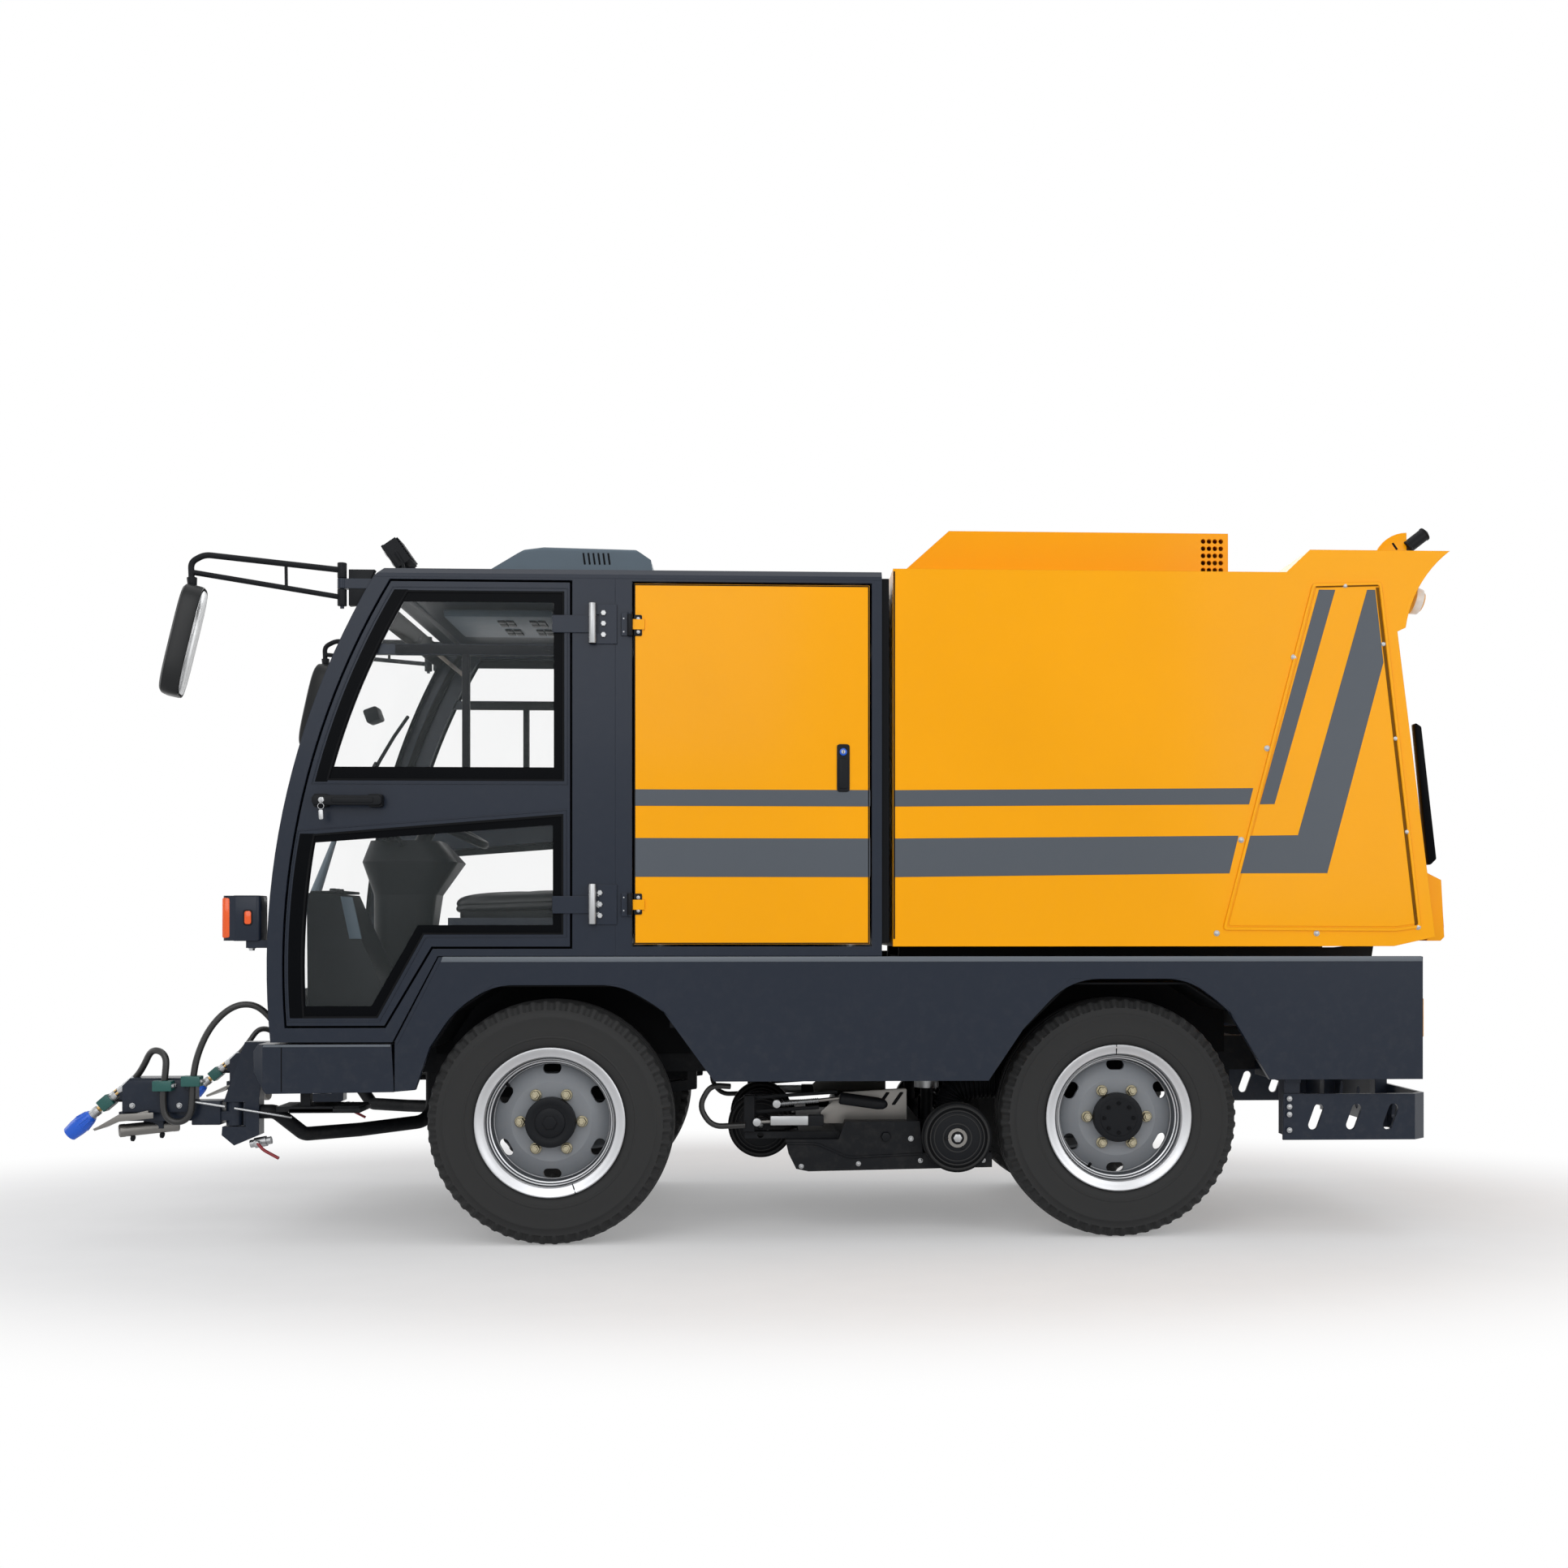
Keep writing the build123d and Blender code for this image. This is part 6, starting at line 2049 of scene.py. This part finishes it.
    def build(self) -> None:
        """Build both arms' details."""
        for side in Side:
            piece = Piece(f"spray_arm_trim_{side.word}", side)
            self.lance(piece)
            self.box(piece)
            self.guard(piece)
            piece.done(f"spray_arm_{side.word}")
            gland = Piece(f"hose_gland_{side.word}", side)
            mouth, before = Vector((852.0, 560.0, 662.0)), Vector((880.0, 564.0, 704.0))
            way = (mouth - before).normalized()
            gland.turned(
                mouth - way * 5, mouth + way * 16, ((0, 12.5), (0.15, 16.5), (0.9, 17.0), (1, 16)),
                "rubber_black", 24,
            )
            gland.done("truck_body")


@dataclass
class FrontPipes:
    """Valve with its red lever, thin rods, pipe couplings and column nuts under the cab's nose."""

    y: float = 545.0

    def build(self) -> None:
        """Build what is bolted to the under-frame."""
        for side in Side:
            piece = Piece(f"front_pipe_trim_{side.word}", side)
            y = self.y
            piece.tube(
                ((906, y + 38, 306), (888, y + 42, 286), (839, y + 46, 260)), 5.0, "red_grip", bend=14, sides=12,
            )
            piece.drum((908, y + 24, 304), (908, y + 42, 304), 10, "zinc_plate", 9, 6, bevel=1.0)
            piece.turned(
                (936, y + 6, 300), (872, y + 6, 312),
                ((0, 12), (0.2, 12), (0.22, 16), (0.78, 16), (0.8, 12), (1, 12)), "zinc_plate", 16,
            )
            piece.drum((972, y + 51, 415), (800, y + 45, 386), 3.5, "zinc_plate", sides=10)
            piece.block((943, y - 24, 357), (953, y + 24, 431), "body_dark", 1.0)
            piece.block((575, 515, 406), (790, 665, 421), "frame_black", 2.0)
            for step in range(9):
                piece.block((580, 519 + step * 16, 420), (786, 529 + step * 16, 426), "frame_black", 1.5)
            piece.done("truck_body")


# ---- wash deck -------------------------------------------------------------------------------


@dataclass
class WashDeck:
    """Actuators, slotted plate, bolts, bellows and wheel faces of the wash deck under the truck."""

    half: float = 560.0
    wheel_radius: float = 108.0
    wheel_half: float = 23.5
    wheel_y: tuple[tuple[str, float], ...] = (("front", 205.0), ("rear", 595.0))

    def actuators(self, piece: Piece, y: float) -> None:
        """The sprung rod with its black cylinder, and the flat grey actuator below, on two slim bars.

        Args:
            piece: the piece that takes the shells.
            y: its place across the truck.
        """
        foot, head, end = Vector((-691, y, 417)), Vector((-823, y, 427)), Vector((-888, y, 434))
        coils = [(step / 40, 9.0 if step % 2 else 6.0) for step in range(41)]
        piece.turned(foot, head, coils, "zinc_plate", 16)
        piece.drum(head, end, 6, "stainless", sides=14)
        dome = ((0, 15), (0.03, 19), (0.8, 19), (0.92, 16), (0.98, 9), (1, 3))
        piece.turned(end, (-1040, y, 412), dome, "plastic_black", 24)
        piece.block((-790, y - 13, 350), (-671, y + 14, 380), "zinc_plate", 3.0)
        piece.block((-838, y - 14, 348), (-789, y + 15, 382), "plastic_black", 3.0)
        piece.drum((-671, y, 362), (-629, y, 360), 6, "stainless", sides=14)
        for x, z in ((-691, 417), (-629, 360)):
            piece.drum((x, y - 11, z), (x, y + 11, z), 13, "zinc_plate", sides=18, bevel=1.5)
        for z, far, rise in ((434, -884, 17), (389, -825, 14)):
            piece.plate(
                [(-610, z + 5), (far, z + rise + 5), (far, z + rise - 6), (-610, z - 6)], y - 38, y - 26,
                "plastic_black", bevel=1.5,
            )
        piece.plate(rectangle(-588, 443, -622, 329), y - 40, y - 4, "plastic_black", bevel=3.0)
        piece.tube(
            ((-545, y - 20, 470), (-484, y, 476), (-447, y, 410), (-488, y, 346), (-592, y - 5, 350)), 9.0,
            "hose_rubber", bend=40,
        )

    def side_plates(self, piece: Piece) -> None:
        """Raised line, bolts and the slotted stainless plate on the outer cheek.

        Args:
            piece: the piece that takes the shells.
        """
        y = self.half
        piece.tube(
            ((-721, y + 1, 294), (-816, y + 1, 293), (-915, y + 1, 249), (-1148, y + 1, 259)), 4.0,
            "frame_black", bend=18, sides=8,
        )
        spots = [(-768.0, 222.0), (-947.0, 229.0), (-1142.0, 238.0), (-1340.0, 238.0)]
        piece.stud(dome_item(6.0, 6.0), facing_out(spots, y))
        piece.stud(bolt_item(6.0, 7.0), facing_out([(-1112.0, 307.0)], y))
        piece.drum((-1033, y - 2, 314), (-1033, y + 12, 314), 17, "plastic_black", 15, 6, bevel=1.5)
        piece.plate(
            rounded([(-899, 449), (-1103, 461), (-1103, 350), (-840, 350), (-829, 386)], 8), y - 62, y - 55,
            "stainless", bevel=1.2,
        )
        for x in (-1016.0, -1060.0):
            slot = rounded([(x - 22, 448), (x - 34, 448), (x - 6, 408), (x + 6, 408)], 5)
            piece.plate(slot, y - 57, y - 54.4, "rubber_black")

    def bellows(self, piece: Piece) -> None:
        """The ribbed suction duct that rises behind the deck.

        Args:
            piece: the piece that takes the shells.
        """
        route = smooth_route(
            ((-1238, 440, 360), (-1250, 440, 452), (-1330, 440, 470), (-1420, 440, 470)), 60, 10,
        )
        dense = []
        for a, b in zip(route, route[1:]):
            parts = max(1, round((b - a).length / 4.0))
            dense += [a + (b - a) * (k / parts) for k in range(parts)]
        rings = []
        for index, here in enumerate(dense):
            ahead = dense[min(index + 1, len(dense) - 1)] - dense[max(index - 1, 0)]
            other = ahead.normalized().cross(OUTBOARD)
            radius = 44 + 5 * math.sin(index * math.tau / 4.0 + 0.8)
            rings.append([here + (OUTBOARD * c + other * s) * radius for c, s in circle(32)])
        piece.loft(rings, "rubber_black")

    def wheel(self, piece: Piece, centre: Vector) -> None:
        """A castor wheel's tread, rim face with slots, and its nut.

        Args:
            piece: the piece that takes the shells.
            centre: its middle.
        """
        radius, out = self.wheel_radius, self.wheel_half
        half = [(radius - 30, out - 3), (radius - 6, out), (radius - 1, out - 5), (radius + 0.6, out - 12)]
        piece.hoop(centre, half + [(far, -along) for far, along in half[::-1]], "tyre_black", 56)
        face = centre + Vector((0.0, out, 0.0))
        piece.turned(
            face - Vector((0, 3, 0)), face + Vector((0, 5, 0)), ((0, 82), (0.5, 82), (0.8, 76), (1, 40)),
            "plastic_black", 48,
        )
        for radius, width in ((97, 2.5), (84, 2.0), (72, 1.6), (44, 2.0)):
            piece.hoop(
                face, ((radius + width, 0), (radius + width, 5.5), (radius - width, 5.5), (radius - width, 0)),
                "tyre_black", 48,
            )
        piece.hoop(face, ((30, 2), (30, 9), (20, 9), (20, 2)), "stainless", 32)
        for step in range(3):
            angle = math.tau * step / 3 + 0.6
            turns = [angle + 0.16 * k for k in range(-2, 3)]
            edges = [(66, a) for a in turns] + [(56, a) for a in turns[::-1]]
            slot = [(face.x + radius * math.cos(a), face.z + radius * math.sin(a)) for radius, a in edges]
            piece.plate(slot, face.y + 1, face.y + 3.2, "rubber_black")
        turn = outboard_at(face + Vector((0, 4, 0)))
        piece.repeat(Pattern.RING, bolt_item(5.0, 6.0), "plastic_black", place=turn, count=3, size=34)
        piece.drum(face + Vector((0, 3, 0)), face + Vector((0, 15, 0)), 15, "zinc_plate", 14, 6, bevel=1.0)

    def build(self) -> None:
        """Build the deck's details."""
        for side in Side:
            piece = Piece(f"wash_deck_trim_{side.word}", side)
            self.side_plates(piece)
            self.bellows(piece)
            self.actuators(piece, self.half - 14)
            piece.done("wash_deck")
        for name, y in self.wheel_y:
            low, high = corners(f"deck_{name}_wheels")
            piece = Piece(f"deck_{name}_wheel_faces")
            middle = (low + high) / 2
            for sign in (-1, 1):
                self.wheel(piece, Vector((middle.x, sign * y, middle.z)))
            piece.done(f"deck_{name}_wheels")


NODE_FINISH = {
    "body_dark": (
        "cab_shell", "turn_signals", "cab_roof", "cab_door_left", "cab_door_right", "skirt_left", "skirt_right",
        "front_bumper", "front_columns", "rear_bumper", "equipment_box", "spray_arm_left", "spray_arm_right",
    ),
    "body_yellow": ("equipment_door_left", "equipment_door_right", "debris_tank", "tank_hood", "tailgate"),
    "frame_black": (
        "chassis_rails", "chassis_crossmembers", "chassis_supports", "leaf_springs", "front_axle", "rear_axle",
        "steering_knuckle_left", "steering_knuckle_right", "tank_subframe", "front_tube_frame", "wash_deck",
        "battery_pack",
    ),
    "wheel_silver": ("rim_front_left", "rim_front_right", "rim_rear_left", "rim_rear_right"),
    "zinc_plate": ("deck_lift_guides",),
    "tyre_black": ("tyre_front_left", "tyre_front_right", "tyre_rear_left", "tyre_rear_right"),
    "rubber_black": ("tank_seal", "wheel_arch_liners", "deck_front_wheels", "deck_rear_wheels"),
    "plastic_black": (
        "mirror_left", "mirror_right", "steering_wheel", "steering_column", "roof_work_lights", "tank_top_lamps",
        "dash_console",
    ),
    "plastic_grey": ("roof_air_conditioner",),
    "leather_black": ("driver_seat",),
    "glass_clear": ("windscreen", "cab_door_glass_left", "cab_door_glass_right"),
}


def dress_nodes() -> None:
    """Give every CAD node its material."""
    for finish, nodes in NODE_FINISH.items():
        for node in nodes:
            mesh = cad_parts[node].data
            mesh.materials.clear()
            mesh.materials.append(bpy.data.materials[finish])
        log.info("%s on %d nodes", finish, len(nodes))


# ---- studio ----------------------------------------------------------------------------------


@dataclass
class Studio:
    """White floor and backdrop, level light and the camera beside the truck's left side."""

    lens: float = 40.79
    sensor: float = 36.0
    turn: float = 177.5
    shift: Spot = (-0.0386, 0.0916)
    station: Point = (-0.0085, 6.1242, 0.9695)
    fade: Spot = (1.5, 2.5)
    sky: float = 0.5
    lamps: tuple[tuple[str, Point, float, float], ...] = (
        ("key_lamp", (2.0, 7.0, 4.5), 5.0, 158.0),
        ("fill_lamp", (-4.5, 6.0, 3.0), 4.0, 90.0),
        ("top_lamp", (0.0, 1.0, 8.0), 6.0, 108.0),
        ("back_lamp", (-2.0, -8.0, 4.0), 5.0, 105.0),
        ("front_lamp", (9.0, -1.0, 3.0), 4.0, 88.0),
        ("rear_lamp", (-9.0, -1.0, 3.0), 4.0, 88.0),
    )

    def camera(self) -> None:
        """Make the camera and set it as the scene's."""
        data = bpy.data.cameras.new("camera")
        data.lens = self.lens
        data.sensor_width = self.sensor
        data.shift_x, data.shift_y = self.shift
        camera = bpy.data.objects.new("camera", data)
        camera.location = self.station
        camera.rotation_euler = (math.radians(90.0), 0.0, math.radians(self.turn))
        bpy.context.collection.objects.link(camera)
        bpy.context.scene.camera = camera

    def seen(self, nodes: Nodes) -> Value:
        """One for camera, mirror and see-through rays, else nought.

        Args:
            nodes: the tree that takes the nodes.

        Returns:
            The share.
        """
        paths = nodes.node("ShaderNodeLightPath")
        rays = [Value(nodes, paths.outputs[f"Is {kind} Ray"]) for kind in ("Camera", "Glossy", "Transmission")]
        return (rays[0] + rays[1] + rays[2]).clamped()

    def floor(self) -> None:
        """Make the pale floor, which keeps the truck's shadow and fades to white far out."""
        half = 40.0
        mesh = bpy.data.meshes.new("floor")
        mesh.from_pydata(
            [(-half, -half, 0), (half, -half, 0), (half, half, 0), (-half, half, 0)], [], [(0, 1, 2, 3)],
        )
        g = Graph("floor_white")
        grain = g.noise(6.0, 3.0)
        material = g.dress(
            Base_Color=g.mix(grain, (0.84, 0.84, 0.85), (0.88, 0.88, 0.89)), Roughness=grain * 0.05 + 0.75,
            Specular_IOR_Level=0.15,
        )
        squeeze = g.node("ShaderNodeMapping", None, {"Vector": g.place(), "Scale": (0.62, 1.0, 1.0)})
        length = g.node("ShaderNodeVectorMath", {"operation": "LENGTH"}, {"Vector": squeeze.outputs[0]})
        reach = Value(g, length.outputs[1])
        far = g.ramp(reach, self.fade[0], self.fade[1])
        white = g.node("ShaderNodeEmission", None, {"Color": (1.0, 1.0, 1.0, 1.0), "Strength": 1.0})
        shown = g.node("ShaderNodeMixShader", None, {0: (far * 0.75 + 0.25) * self.seen(g)})
        g.link(g.surface.outputs[0], shown.inputs[1])
        g.link(white.outputs[0], shown.inputs[2])
        g.link(shown.outputs[0], g.output.inputs[0])
        mesh.materials.append(material)
        floor = bpy.data.objects.new("floor", mesh)
        bpy.context.collection.objects.link(floor)

    def lamp(self, name: str, place: Point, size: float, power: float) -> None:
        """Make a square area lamp aimed at the truck's middle.

        Args:
            name: its name.
            place: where it is.
            size: width of its square.
            power: its strength in watts.
        """
        data = bpy.data.lights.new(name, "AREA")
        data.energy = power
        data.size = size
        lamp = bpy.data.objects.new(name, data)
        lamp.location = place
        aim = Vector((0.0, 0.0, 0.9)) - Vector(place)
        lamp.rotation_euler = aim.to_track_quat("-Z", "Y").to_euler()
        bpy.context.collection.objects.link(lamp)

    def light(self) -> None:
        """Make the world and the lamps."""
        world = bpy.data.worlds.new("world")
        world.use_nodes = True
        bpy.context.scene.world = world
        world.node_tree.nodes.clear()
        nodes = Nodes(world.node_tree)
        strength = self.seen(nodes) * (1.0 - self.sky) + self.sky
        back = nodes.node("ShaderNodeBackground", None, {"Color": (1.0, 1.0, 1.0, 1.0), "Strength": strength})
        out = nodes.node("ShaderNodeOutputWorld")
        nodes.link(back.outputs[0], out.inputs[0])
        for name, place, size, power in self.lamps:
            self.lamp(name, place, size, power)

    def build(self) -> None:
        """Set the stage round the camera."""
        bpy.context.scene.view_settings.view_transform = "Standard"
        self.floor()
        self.light()


# ---- all together ----------------------------------------------------------------------------


def main() -> None:
    """Build the stage and every sub-assembly in order."""
    logging.basicConfig(level=logging.INFO, format="%(name)s: %(message)s")
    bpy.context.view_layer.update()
    studio = Studio()
    studio.camera()
    for finish in FINISHES:
        finish.make()
    SprayHoses().build()
    dress_nodes()
    front = CabFront()
    for assembly in (
        Wheels(), CabDoors(front), CabNose(front), CabInterior(front), DriverSeat(), Mirrors(), RoofFittings(),
        TurnSignals(), EquipmentDoors(), Livery(), TankBody(), TankHood(), Tailgate(), Skirts(), FrontBumper(),
        SprayArms(), FrontPipes(), WashDeck(),
    ):
        assembly.build()
    studio.build()


if __name__ == "__main__":
    main()
